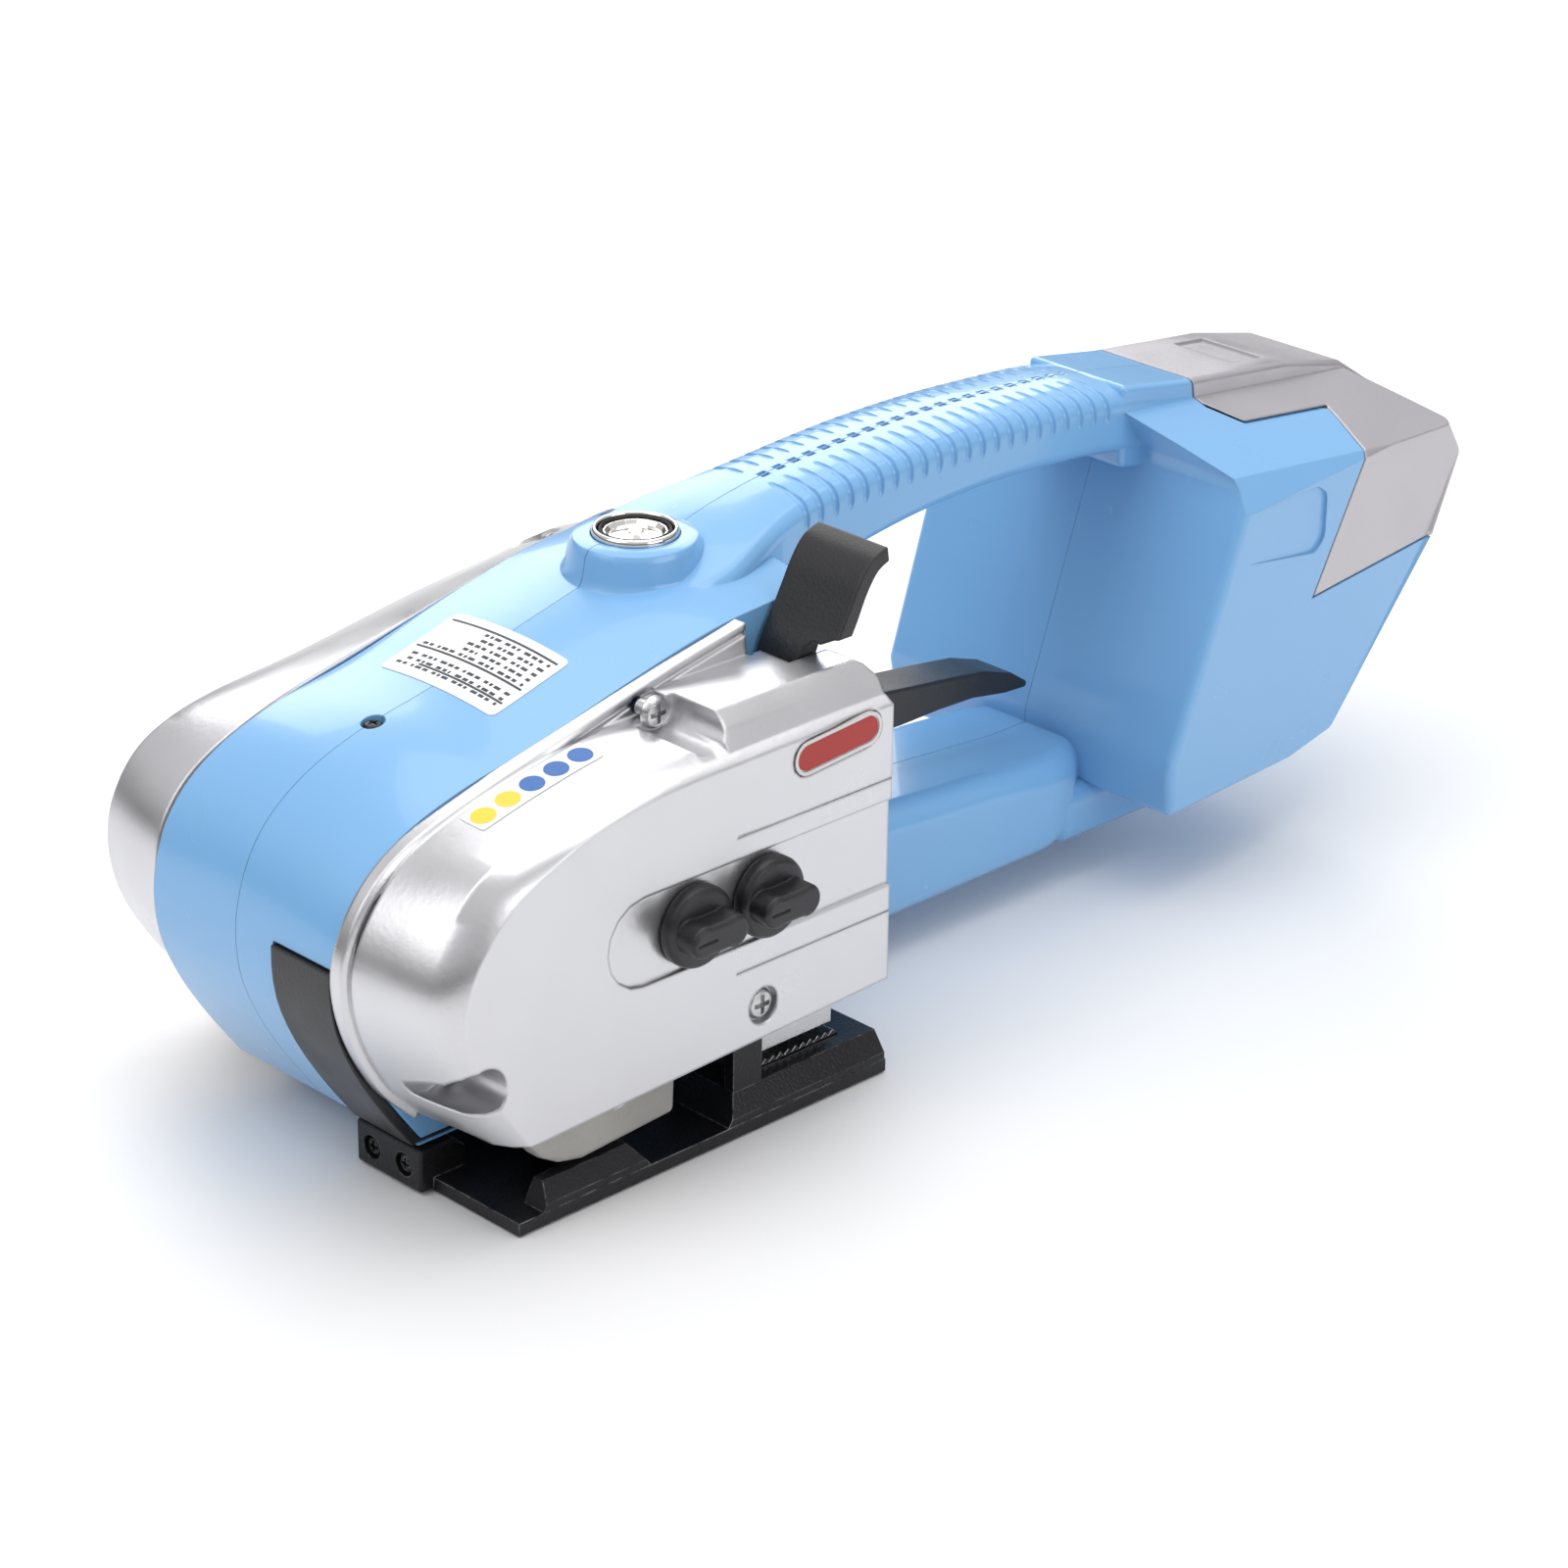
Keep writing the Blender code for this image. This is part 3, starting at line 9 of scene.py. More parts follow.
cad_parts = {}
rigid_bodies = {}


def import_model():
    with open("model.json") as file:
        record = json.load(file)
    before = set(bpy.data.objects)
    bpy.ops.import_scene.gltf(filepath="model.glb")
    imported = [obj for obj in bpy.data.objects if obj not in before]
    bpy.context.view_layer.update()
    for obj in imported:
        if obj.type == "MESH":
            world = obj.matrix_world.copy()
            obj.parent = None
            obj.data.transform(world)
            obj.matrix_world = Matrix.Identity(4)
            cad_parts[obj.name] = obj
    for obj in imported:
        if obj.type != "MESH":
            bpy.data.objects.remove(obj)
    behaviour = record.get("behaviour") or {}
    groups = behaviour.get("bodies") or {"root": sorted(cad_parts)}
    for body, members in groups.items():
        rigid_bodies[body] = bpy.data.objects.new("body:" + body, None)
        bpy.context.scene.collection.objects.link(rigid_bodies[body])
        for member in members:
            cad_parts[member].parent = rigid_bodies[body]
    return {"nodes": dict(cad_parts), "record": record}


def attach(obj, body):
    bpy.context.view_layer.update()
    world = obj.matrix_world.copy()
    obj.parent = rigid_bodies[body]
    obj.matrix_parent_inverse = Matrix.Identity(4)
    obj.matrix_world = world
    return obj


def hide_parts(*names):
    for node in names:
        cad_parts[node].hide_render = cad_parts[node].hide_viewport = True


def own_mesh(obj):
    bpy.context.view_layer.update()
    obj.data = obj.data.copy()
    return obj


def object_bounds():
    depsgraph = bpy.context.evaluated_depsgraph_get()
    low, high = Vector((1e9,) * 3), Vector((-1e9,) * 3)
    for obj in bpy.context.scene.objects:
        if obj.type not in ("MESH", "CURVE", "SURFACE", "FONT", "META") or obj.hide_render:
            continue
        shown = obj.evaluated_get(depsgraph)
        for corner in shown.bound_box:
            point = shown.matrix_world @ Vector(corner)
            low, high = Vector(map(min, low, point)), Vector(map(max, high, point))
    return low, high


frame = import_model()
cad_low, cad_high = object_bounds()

MM = 0.001
MIDDLE_X = 67.5
MIDDLE_Y = -4.7
GAP = 0.3

# Housing
WALL = 2.5
STRAP_SEAM_Y = -34.0
MOTOR_SEAM_Y = 29.5
BODY_REAR_X = 24.0
BODY_FLOOR_Z = 12.0
CROWN_Z = 58.0
STRAP_CROWN_DROP = 0.085
MOTOR_CROWN_DROP = 0.062
BOSS_TOP_Z = 122.8
GRIP_CORNER = 5.0
GRIP_CROWN = 1.5
TOP_SCREW_X = -79
BRACKET_SCREWS = (("bracket_screw_inner", -18.4), ("bracket_screw_outer", -29.4))
BRACKET_SCREW_Z = 5.6
BEZEL_RADIUS = 10.3

# Covers
STRAP_FACE_Y = -66.0
MOTOR_FACE_Y = 66.0
COVER_WALL = 2.2
COVER_REAR_X = 18.6
MOTOR_COVER_REAR_X = 24.0

# Joint axes, as (x, y, z)
DRIVE_AXIS = (-38.0, 0.0, 38.0)
ECCENTRIC_AXIS = (-2.0, 0.0, 40.0)
MOTOR_AXIS = (0.0, 42.0, 37.0)
MOTOR_RADIUS = 15.0
TRIGGER_AXIS = (12.0, -3.0, 58.0)
LEVER_AXIS = (8.2, -41.0, 97.0)
TENSION_KNOB_AXIS = (-43.4, -66.0, 60.4)
WELD_KNOB_AXIS = (-21.2, -66.0, 60.4)

# Middle plane outline, from the rear of the top round the nose to the floor
BODY_LINE = ((24, 118.5), (8, 117.6), (-10, 115.5), (-36, 109.2), (-61, 102.2), (-80, 98.3), (-95, 93.5),
             (-105.5, 87.5), (-112.5, 80.5), (-117, 71.5), (-119.2, 61), (-118.2, 49), (-113.5, 37),
             (-106, 24.5), (-97, 12))

# Strap cover outlines at the lip, beside the lip, at the edge of the band and on the outer face
STRAP_LIP = ((20, 115.5), (0, 112), (-25, 107.2), (-52, 101), (-76, 95.6), (-96, 90), (-107, 84.6),
             (-115, 76.5), (-120, 66), (-120.3, 56), (-117, 44), (-110, 31.5), (-101, 22))
STRAP_INNER = ((20, 99.8), (0, 99.8), (-25, 99.6), (-50, 99.2), (-75, 94.9), (-94, 89.6), (-105.3, 84),
               (-113.2, 76), (-118.4, 65.8), (-118.8, 56), (-115.6, 44.6), (-108.6, 32.3), (-99.6, 22.5))
STRAP_BAND = ((20, 98), (0, 98.2), (-25, 98), (-50, 97.8), (-72, 94.4), (-92, 89.8), (-102, 85), (-109.5, 76),
              (-114.6, 66.5), (-115.8, 57.5), (-112.6, 46.4), (-105.5, 33.5), (-97, 22.5))
STRAP_FACE = ((20, 95.2), (0, 95.2), (-25, 95), (-52, 94.4), (-72, 91.3), (-84, 87.2), (-94.3, 82.2),
              (-101.5, 75.5), (-106.8, 68), (-109.4, 58.5), (-107.6, 48.5), (-100.5, 35.5), (-91.7, 22.5))
STRAP_FLOOR = (22.3, 25.8)
MOTOR_FLOOR = (0.0, 0.0)

# Motor cover outlines at the seam, at the lip, at the edge of the band and on the outer face
MOTOR_SEAM = ((24, 110.5), (20, 115), (5, 113.7), (-25, 108.7), (-57, 101.6), (-80, 96), (-98, 88.3),
              (-111, 77.4), (-117.2, 64.5), (-117.6, 50), (-111.5, 35.5), (-102, 21.5), (-88, 8), (-70, 1.2))
MOTOR_LIP = ((24, 107.5), (20, 112), (5, 110), (-25, 104.8), (-52, 99.4), (-80, 92.6), (-100, 84.4),
             (-110.5, 74.5), (-114.5, 63), (-113.8, 50), (-107, 36), (-98, 22), (-84, 9), (-66, 0.2))
MOTOR_BAND = ((24, 95), (19, 100.2), (5, 98.8), (-20, 96.2), (-55, 90.9), (-80, 88), (-96, 84), (-105.5, 77),
              (-111, 65.5), (-110, 50.4), (-102.5, 35), (-91, 20), (-78, 8), (-60, 0.2))
MOTOR_FACE = ((24, 82), (19, 84.5), (10, 84.6), (-28, 84.6), (-62, 83.5), (-82, 81), (-94, 74.8), (-101, 66),
              (-103.6, 56), (-102.4, 46.5), (-96, 35), (-84, 21), (-71, 11), (-58, 5.5))

# Battery housing, seen from the side, and the roof seen from the rear
BATTERY_SIDE = ((147, 124), (159.5, 107), (135.6, 38), (137.5, 23), (213.5, 21.5), (246, 70), (256.6, 91),
                (249, 101.5), (236, 112), (212, 124))
BATTERY_HALF_WIDTH = 51.5
TAPER_START_X = 190.0
ROOF = ((-70, -5), (70, -5), (70, 92), (51, 97.5), (46, 105.2), (33, 110.4), (17, 116.2), (-17, 116.2),
        (-33, 110.4), (-46, 105.2), (-51, 97.5), (-70, 92))
ROOF_SLOPE = 0.1
ROOF_ZERO_X = 190.0
RIDGE = ((150, 105), (150, 126.6), (174, 122.7), (213, 118.6), (236, 113.4), (249, 105), (243, 96), (200, 96))
CAP_EDGE = ((192.3, 68.3), (210.2, 103), (215.6, 109.4), (183, 112.8), (177.2, 116.5), (176.3, 122.2),
            (176.3, 140), (275, 140), (275, 71), (245.6, 69.9))
CAP_GAP = 0.6


# ---------------------------------------------------------------- helpers

SEAM_GAP = 0.1
WORK = bpy.data.collections.new("work")
bpy.context.scene.collection.children.link(WORK)
BODY_OF = {node: body for body, nodes in frame["record"]["behaviour"]["bodies"].items() for node in nodes}
SLOT_OF = {part["node"]: part["material_slot"] for part in frame["record"]["subparts"]}
TURN = {"X": Matrix.Rotation(math.pi / 2, 4, "Y"), "Y": Matrix.Rotation(-math.pi / 2, 4, "X"), "Z": Matrix()}


def smooth(points, steps=6):
    """Points of a smooth curve through the given ones (Catmull-Rom), ends included."""
    ends = [points[0], *points, points[-1]]
    curve = []
    for i in range(len(points) - 1):
        p0, p1, p2, p3 = (Vector(p) for p in ends[i:i + 4])
        for k in range(steps):
            t = k / steps
            curve.append(0.5 * (2 * p1 + (p2 - p0) * t + (2 * p0 - 5 * p1 + 4 * p2 - p3) * t ** 2
                                + (3 * p1 - p0 - 3 * p2 + p3) * t ** 3))
    curve.append(Vector(points[-1]))
    return [tuple(p) for p in curve]


def finish(name, mesh, origin=(0, 0, 0)):
    mesh.transform(Matrix.Scale(MM, 4) @ Matrix.Translation(-Vector(origin)))
    part = bpy.data.objects.new("work_" + name, mesh)
    part.location = Vector(origin) * MM
    WORK.objects.link(part)
    return part


def from_bmesh(name, shape, origin=(0, 0, 0)):
    mesh = bpy.data.meshes.new("work_" + name)
    bmesh.ops.recalc_face_normals(shape, faces=shape.faces)
    shape.to_mesh(mesh)
    shape.free()
    return finish(name, mesh, origin)


def box(name, low, high):
    size = Vector(high) - Vector(low)
    centre = (Vector(high) + Vector(low)) / 2
    shape = bmesh.new()
    bmesh.ops.create_cube(shape, size=1.0, matrix=Matrix.Translation(centre) @ Matrix.Diagonal((*size, 1.0)))
    return from_bmesh(name, shape)


def rod(name, start, axis, length, radius, segments=20):
    shape = bmesh.new()
    place = Matrix.Translation(start) @ TURN[axis] @ Matrix.Translation((0, 0, length / 2))
    bmesh.ops.create_cone(shape, cap_ends=True, segments=segments * 2, radius1=radius, radius2=radius,
                          depth=length, matrix=place)
    return from_bmesh(name, shape)


def skin(shape, rings):
    """Adds a closed skin over rings that all have the same number of points."""
    rows = [[shape.verts.new(point) for point in ring] for ring in rings]
    count = len(rows[0])
    for row, following in zip(rows, rows[1:]):
        for i in range(count):
            j = (i + 1) % count
            shape.faces.new((row[i], row[j], following[j], following[i]))
    shape.faces.new(rows[0])
    shape.faces.new(rows[-1])


def loft(name, rings, origin=(0, 0, 0)):
    shape = bmesh.new()
    skin(shape, rings)
    return from_bmesh(name, shape, origin)


def outline_solid(name, outline, low, high, axis="Y", origin=(0, 0, 0)):
    """A flat outline given a thickness from low to high: (x, z) along Y, (y, z) along X, (x, y) along Z."""
    clean = []
    for point in outline:
        if not clean or (Vector(point) - Vector(clean[-1])).length > 0.02:
            clean.append(tuple(point))
    if (Vector(clean[0]) - Vector(clean[-1])).length < 0.02:
        clean.pop()
    place = {"Y": lambda p, d: (p[0], d, p[1]), "X": lambda p, d: (d, p[0], p[1]), "Z": lambda p,
             d: (*p, d)}[axis]
    return loft(name, [[place(p, depth) for p in clean] for depth in (low, high)], origin)


def turned(name, profile, origin, axis, segments=28, flip=False):
    """A turned piece: (radius, height) points swept about its axis by a Screw modifier."""
    mesh = bpy.data.meshes.new(name)
    edges = [(i, i + 1) for i in range(len(profile) - 1)]
    if profile[0][0] > 0 and profile[-1][0] > 0:
        edges.append((len(profile) - 1, 0))
    mesh.from_pydata([(radius * MM, 0.0, height * MM) for radius, height in profile], edges, [])
    part = bpy.data.objects.new("work_" + name, mesh)
    WORK.objects.link(part)
    turn = TURN[axis] @ Matrix.Rotation(math.pi if flip else 0.0, 4, "X")
    part.location = Vector(origin) * MM
    part.rotation_euler = turn.to_euler()
    sweep = part.modifiers.new("sweep", "SCREW")
    sweep.steps = segments * 2
    sweep.render_steps = segments * 2
    sweep.use_merge_vertices = True
    sweep.merge_threshold = 0.00001
    return part


def rounded(part, width, segments=2, angle=40.0):
    bevel = part.modifiers.new("rounded", "BEVEL")
    bevel.width = width * MM
    bevel.segments = segments * 2 + 1
    bevel.limit_method = "ANGLE"
    bevel.angle_limit = math.radians(angle)
    return part


def combine(part, other, operation):
    boolean = part.modifiers.new(operation.lower(), "BOOLEAN")
    boolean.operation = operation
    boolean.solver = "EXACT"
    boolean.object = other
    return part


def inset(outline, distance):
    """The closed outline moved inwards by a distance, corners mitred."""
    area = sum(a[0] * b[1] - b[0] * a[1] for a, b in zip(outline, outline[1:] + outline[:1]))
    side = 1.0 if area > 0 else -1.0
    moved = []
    for i, point in enumerate(outline):
        before = (Vector(point) - Vector(outline[i - 1])).normalized()
        after = (Vector(outline[(i + 1) % len(outline)]) - Vector(point)).normalized()
        normal = Vector((-before.y - after.y, before.x + after.x)) * side
        normal.normalize()
        cosine = max(0.4, normal.dot(Vector((-before.y, before.x)) * side))
        moved.append(tuple(Vector(point) + normal * distance / cosine))
    return moved


def arc(centre, radius, start, end, steps):
    """Points on an arc, angles in degrees."""
    angles = [math.radians(start + (end - start) * i / steps) for i in range(steps + 1)]
    return [(centre[0] + radius * math.cos(a), centre[1] + radius * math.sin(a)) for a in angles]


def join(part, *others):
    for other in others:
        combine(part, other, "UNION")
    return part


def cut(part, *others):
    for other in others:
        combine(part, other, "DIFFERENCE")
    return part


def crowned(outline, drop):
    """The middle outline with its upper part lowered by a share of its height."""
    return [(x, CROWN_Z + (z - CROWN_Z) * (1 - drop) if z > CROWN_Z else z) for x, z in outline]


def body_block(name, side, grow):
    """The middle of the tool from the parting plane to one seam; grow moves its walls out, or in below 0."""
    seam = abs(STRAP_SEAM_Y if side < 0 else MOTOR_SEAM_Y)
    drop = STRAP_CROWN_DROP if side < 0 else MOTOR_CROWN_DROP
    closed = smooth(BODY_LINE) + [(BODY_REAR_X, BODY_FLOOR_Z)]
    rings = []
    for step in range(-1, 11):
        share = max(0.0, step / 10)
        depth = seam * share if step < 10 else seam + grow
        ring = inset(crowned(closed, drop * share * share), -grow)
        rings.append([(x, side * (depth if step >= 0 else -2.0), z) for x, z in ring])
    return loft(name, rings)


def grip_section(half_width, top, bottom, crown=GRIP_CROWN, corner=GRIP_CORNER):
    """A rounded section with a slightly crowned top, as (y, z) points."""
    points = arc((half_width - corner, bottom + corner * 0.8), corner, -90, 0, 8)
    points = [(y, bottom + (z - (bottom - corner * 0.2)) * 0.8) for y, z in points]
    points += arc((half_width - corner, top - crown - corner), corner, 0, 72, 9)
    points += [(half_width * 0.5, top - 0.7), (half_width * 0.28, top - 0.48), (half_width * 0.1, top - 0.38)]
    return points + [(-y, z) for y, z in reversed(points)]


GRIP_STATIONS = ((-24, 12, 108, 92), (-8, 21, 114.6, 95), (8, 24.2, 119.6, 98), (20, 22, 123.2, 99.6),
                 (30, 19, 125.4, 101.2), (40, 17.3, 127, 103.8), (50, 17, 128, 106.2), (66, 17, 129.2, 109.2),
                 (84, 17, 130, 111.2), (104, 17, 130, 111.9), (124, 17, 129.1, 111.2),
                 (142, 17, 127.9, 109.8), (158, 17, 125.6, 107), (178, 17, 122, 103))
GRIP_LINE = smooth([Vector(station) for station in GRIP_STATIONS], 4)


def grip(name, shrink):
    rings = []
    for x, half_width, top, bottom in GRIP_LINE:
        section = grip_section(half_width - shrink, top - shrink, bottom + shrink)
        rings.append([(x, y, z) for y, z in section])
    return loft(name, rings)


def grip_at(x):
    """Half width and top of the grip at a station along it."""
    for a, b in zip(GRIP_LINE, GRIP_LINE[1:]):
        if a[0] <= x <= b[0]:
            t = (x - a[0]) / (b[0] - a[0])
            return a[1] + (b[1] - a[1]) * t, a[2] + (b[2] - a[2]) * t
    return GRIP_LINE[-1][1], GRIP_LINE[-1][2]


def sweep_tube(shape, path, normals, along, half_width, depth, sides=8):
    """A flattened tube along a path, tapered at its ends."""
    rings = []
    for i, (point, normal) in enumerate(zip(path, normals)):
        edge = min(i, len(path) - 1 - i)
        scale = (0.25, 0.8)[edge] if edge < 2 else 1.0
        ring = []
        for k in range(sides):
            angle = 2 * math.pi * k / sides
            across = half_width * scale * math.cos(angle)
            outward = depth * (scale * math.sin(angle)) + (1 - scale) * 0.2
            ring.append(Vector(point) + Vector(along) * across + Vector(normal) * outward)
        rings.append(ring)
    skin(shape, rings)


RIB_START_X = 38.5
RIB_PITCH = 5.0
RIB_COUNT = 22


def groove(shell, side):
    """Cuts the grip's grooves on one side, and the short marks beside its parting line."""
    shape = bmesh.new()
    for i in range(RIB_COUNT):
        x = RIB_START_X + RIB_PITCH * i
        half_width, top = grip_at(x)
        corner = GRIP_CORNER
        centre = (half_width - corner, top - GRIP_CROWN - corner)
        path = [(half_width, centre[1] - drop) for drop in (2.6, 1.6, 0.6)]
        normals = [(1, 0)] * 3
        for angle in range(0, 73, 12):
            a = math.radians(angle)
            path.append((centre[0] + corner * math.cos(a), centre[1] + corner * math.sin(a)))
            normals.append((math.cos(a), math.sin(a)))
        for share in (0.62, 0.5, 0.4, 0.3, 0.2):
            path.append((half_width * share, top - 0.1 - 1.1 * share * share))
            normals.append((0.12, 0.99))
        points = [(x, side * y, z) for y, z in path]
        outward = [(0, side * y, z) for y, z in normals]
        sweep_tube(shape, points, outward, (1, 0, 0), 1.0, 0.95)
        mark = [(x + 1.2, 0.2), (x + 3.8, 0.2), (x + 3.8, 1.3), (x + 1.2, 1.3)]
        skin(shape, [[(px, side * py, z) for px, py in mark] for z in (top - 0.75, top + 1.5)])
    return cut(shell, from_bmesh("grooves_%d" % (side + 1), shape))


PANEL_DEPTH = 0.9
PANEL = ((193.5, 96.5), (194.5, 84), (191, 80.6), (160, 86.2), (157.2, 90), (162, 97.5), (166, 100.2),
         (189, 99.6))


def tree_of(*parts, offset=(0, 0, 0)):
    """A search tree over the evaluated surfaces of pieces, in working millimetres."""
    points, faces = [], []
    for part in parts:
        bpy.context.view_layer.update()
        mesh = part.evaluated_get(bpy.context.evaluated_depsgraph_get()).to_mesh()
        start = len(points)
        points += [part.matrix_world @ vertex.co / MM + Vector(offset) for vertex in mesh.vertices]
        faces += [[start + i for i in face.vertices] for face in mesh.polygons]
    return BVHTree.FromPolygons(points, faces)


def side_panel(name, side, shell):
    """A shallow recess in the battery housing's side, which fades out towards the front."""
    wall = tree_of(shell)
    outline = []
    count = len(PANEL)
    for i, point in enumerate(PANEL):
        before, after = Vector(PANEL[i - 1]), Vector(PANEL[(i + 1) % count])
        here = Vector(point)
        first = here + (before - here).normalized() * min(1.6, (before - here).length * 0.4)
        last = here + (after - here).normalized() * min(1.6, (after - here).length * 0.4)
        for t in (0.0, 0.33, 0.67, 1.0):
            outline.append(tuple(first * (1 - t) ** 2 + here * 2 * t * (1 - t) + last * t * t))
    middle = sum((Vector(point) for point in outline), Vector((0, 0))) / len(outline)
    rings = []
    for scale, deep in ((1.0, False), (0.985, True), (0.75, True), (0.4, True)):
        ring = []
        for x, z in (middle + (Vector(point) - middle) * scale for point in outline):
            surface_y = wall.ray_cast(Vector((x, side * 90, z)), Vector((0, -side, 0)))[0].y
            fade = max(-0.12, min(1.0, (x - 161) / 16))
            depth = PANEL_DEPTH * fade if deep else -4
            ring.append((x, surface_y - side * depth, z))
        rings.append(ring)
    return loft(name, rings)


def trim_strap_cover(cover):
    """The dark groove inside the lip and the crease lines behind the knobs."""
    lip = tuple(smooth(STRAP_LIP))
    core = [point for point in inset_line(lip, 1.7) if point[0] < 2] + [(-90, 10), (2, 10)]
    outer = outline_solid("lip_groove", core, -39.2, -37.2)
    band = outline_solid("lip_groove_core", inset(core, 1.2), -45, -30)
    cut(cover, cut(outer, band))
    for z in (77.0, 43.4):
        cut(cover, box("crease_%d" % z, (-30, STRAP_FACE_Y - 1, z - 0.2), (24, STRAP_FACE_Y + 0.35, z + 0.2)))


RIDGE_LOOP = ((11, 80.3), (-28, 79.7), (-67, 75.8), (-86, 72), (-94.5, 63), (-90.4, 50.4), (-81.5, 31.7),
              (-67.2, 32.4), (-84.5, 56.4), (-82.4, 57.9), (-47.6, 66.6), (-43.8, 62.8), (-34.4, 46.8),
              (12.9, 47.1))


def trim_motor_cover(cover):
    """Nested grooves on the outer face and the groove inside the lip."""
    for number, distance in enumerate((0.8, 3.1, 5.4)):
        ring = outline_solid("ridge_%d" % number, inset(list(RIDGE_LOOP), distance), MOTOR_FACE_Y - 0.7, 70)
        core = outline_solid("ridge_core_%d" % number, inset(list(RIDGE_LOOP), distance + 1.1), 60, 75)
        cut(cover, cut(ring, core))
    for number in range(4):
        z = 10.2 + 2.6 * number
        line = [(-18, z), (-49 + number * 0.5, z + 0.9), (-66 + number * 3.0, z + 9.5 - number * 0.6),
                (-64.6 + number * 3.0, z + 10.3 - number * 0.6), (-48.6 + number * 0.5, z + 2.1),
                (-18, z + 1.2)]
        cut(cover, outline_solid("low_ridge_%d" % number, line, MOTOR_FACE_Y - 0.7, 70))
    lip = tuple(smooth(MOTOR_LIP))
    core = [point for point in inset_line(lip, 0.6) if point[0] < 12] + [(-60, -8), (12, -8)]
    outer = outline_solid("motor_lip_groove", core, 34.6, 36.0)
    cut(cover, cut(outer, outline_solid("motor_lip_core", inset(core, 1.3), 30, 40)))


def grip_bar_section(half_width, top, bottom):
    corner = 7.0
    points = arc((half_width - corner, bottom + corner), corner, -90, 0, 9)
    points += arc((half_width - corner, top - corner), corner, 0, 90, 9)
    return points + [(-y, z) for y, z in reversed(points)]


def drafted(part, shrink):
    """Narrows the battery housing's sides towards its rear and its floor."""
    for vertex in part.data.vertices:
        x, y, z = vertex.co / MM
        rear = max(0.0, x - TAPER_START_X) * 0.135
        low = max(0.0, 60.0 - z) * (0.07 + max(0.0, x - 150.0) * 0.003)
        half_width = BATTERY_HALF_WIDTH - rear - low - shrink
        vertex.co.y = math.copysign(half_width, y) * MM
    return part


def battery_block(name, shrink):
    side, roof, ridge_line = list(BATTERY_SIDE), list(ROOF), list(RIDGE)
    if shrink:
        side, roof, ridge_line = (inset(line, shrink) for line in (side, roof, ridge_line))
    split = []
    for a, b in zip(side, side[1:] + side[:1]):
        split.append(a)
        if (a[0] - TAPER_START_X) * (b[0] - TAPER_START_X) < 0:
            t = (TAPER_START_X - a[0]) / (b[0] - a[0])
            split.append((TAPER_START_X, a[1] + t * (b[1] - a[1])))
    block = drafted(outline_solid(name, split, -50, 50), shrink)
    top = outline_solid(name + "_roof", roof, 110, 280, axis="X")
    for vertex in top.data.vertices:
        vertex.co.z -= (vertex.co.x - ROOF_ZERO_X * MM) * ROOF_SLOPE
    if not shrink:
        rounded(block, 2.6, 2, 25)
    combine(block, top, "INTERSECT")
    ridge = outline_solid(name + "_ridge", ridge_line, -16.4 + shrink, 16.4 - shrink)
    if not shrink:
        rounded(ridge, 1.6, 2, 50)
    return join(block, ridge)


def bridge(name, shrink):
    """The hollow bar under the finger opening."""
    low, high = 8.5 + shrink, 43.0 - shrink
    front = grip_bar_section(23.5 - shrink, high, low)
    rear = grip_bar_section(23.0 - shrink, high - 8, low)
    start = 18.0 if shrink else 22.0
    rings = [[(start, y, z) for y, z in front], [(122, y, z) for y, z in rear]]
    for x, narrow, rise in ((131, 0.94, 1), (136, 0.8, 2), (147, 0.5, 4)):
        rings.append([(x - shrink, y * narrow, z if z > 20 else z + rise) for y, z in rear])
    return loft(name, rings)


def button_boss():
    profile = [(0, BOSS_TOP_Z), (12.6, BOSS_TOP_Z), (14.6, BOSS_TOP_Z - 0.6), (15.6, BOSS_TOP_Z - 2.2),
               (16.4, 116), (18.4, 112.6), (20.5, 110), (20.5, 104), (0, 104)]
    return turned("boss", profile, (0, 0, 0), "Z", segments=32)


OUTER_GRIP = grip("grip_outer", 0.0)
INNER_GRIP = grip("grip_inner", WALL)
OUTER_BATTERY = battery_block("battery_outer", 0.0)
INNER_BATTERY = battery_block("battery_inner", WALL)
OUTER_BRIDGE = bridge("bridge_outer", 0.0)
INNER_BRIDGE = bridge("bridge_inner", WALL)
BRIDGE_FOOT = rounded(box("bridge_foot", (126, -22.6, 9.0), (170, 22.6, 24.4)), 5.0, 2)
BOSS = button_boss()
BUTTON_WELL = rod("button_well", (0, 0, 96), "Z", 40, 9.0, segments=28)
BEZEL_SEAT = rod("bezel_seat", (0, 0, BOSS_TOP_Z - 1.2), "Z", 10, BEZEL_RADIUS + 0.25, segments=28)
TRIGGER_SLOT = box("trigger_slot", (20, -10.4, 45), (40, 4.4, 80))
CAP_REGION = outline_solid("cap_region", inset(list(CAP_EDGE), -CAP_GAP), -80, 80)

# Shell screws as (name, x, z), all driven from the motor side
SHELL_SCREWS = (("shell_screw_front", 33.7, 111.2), ("shell_screw_rear", 150.7, 117.6),
                ("shell_screw_bridge", 111.2, 27.5))


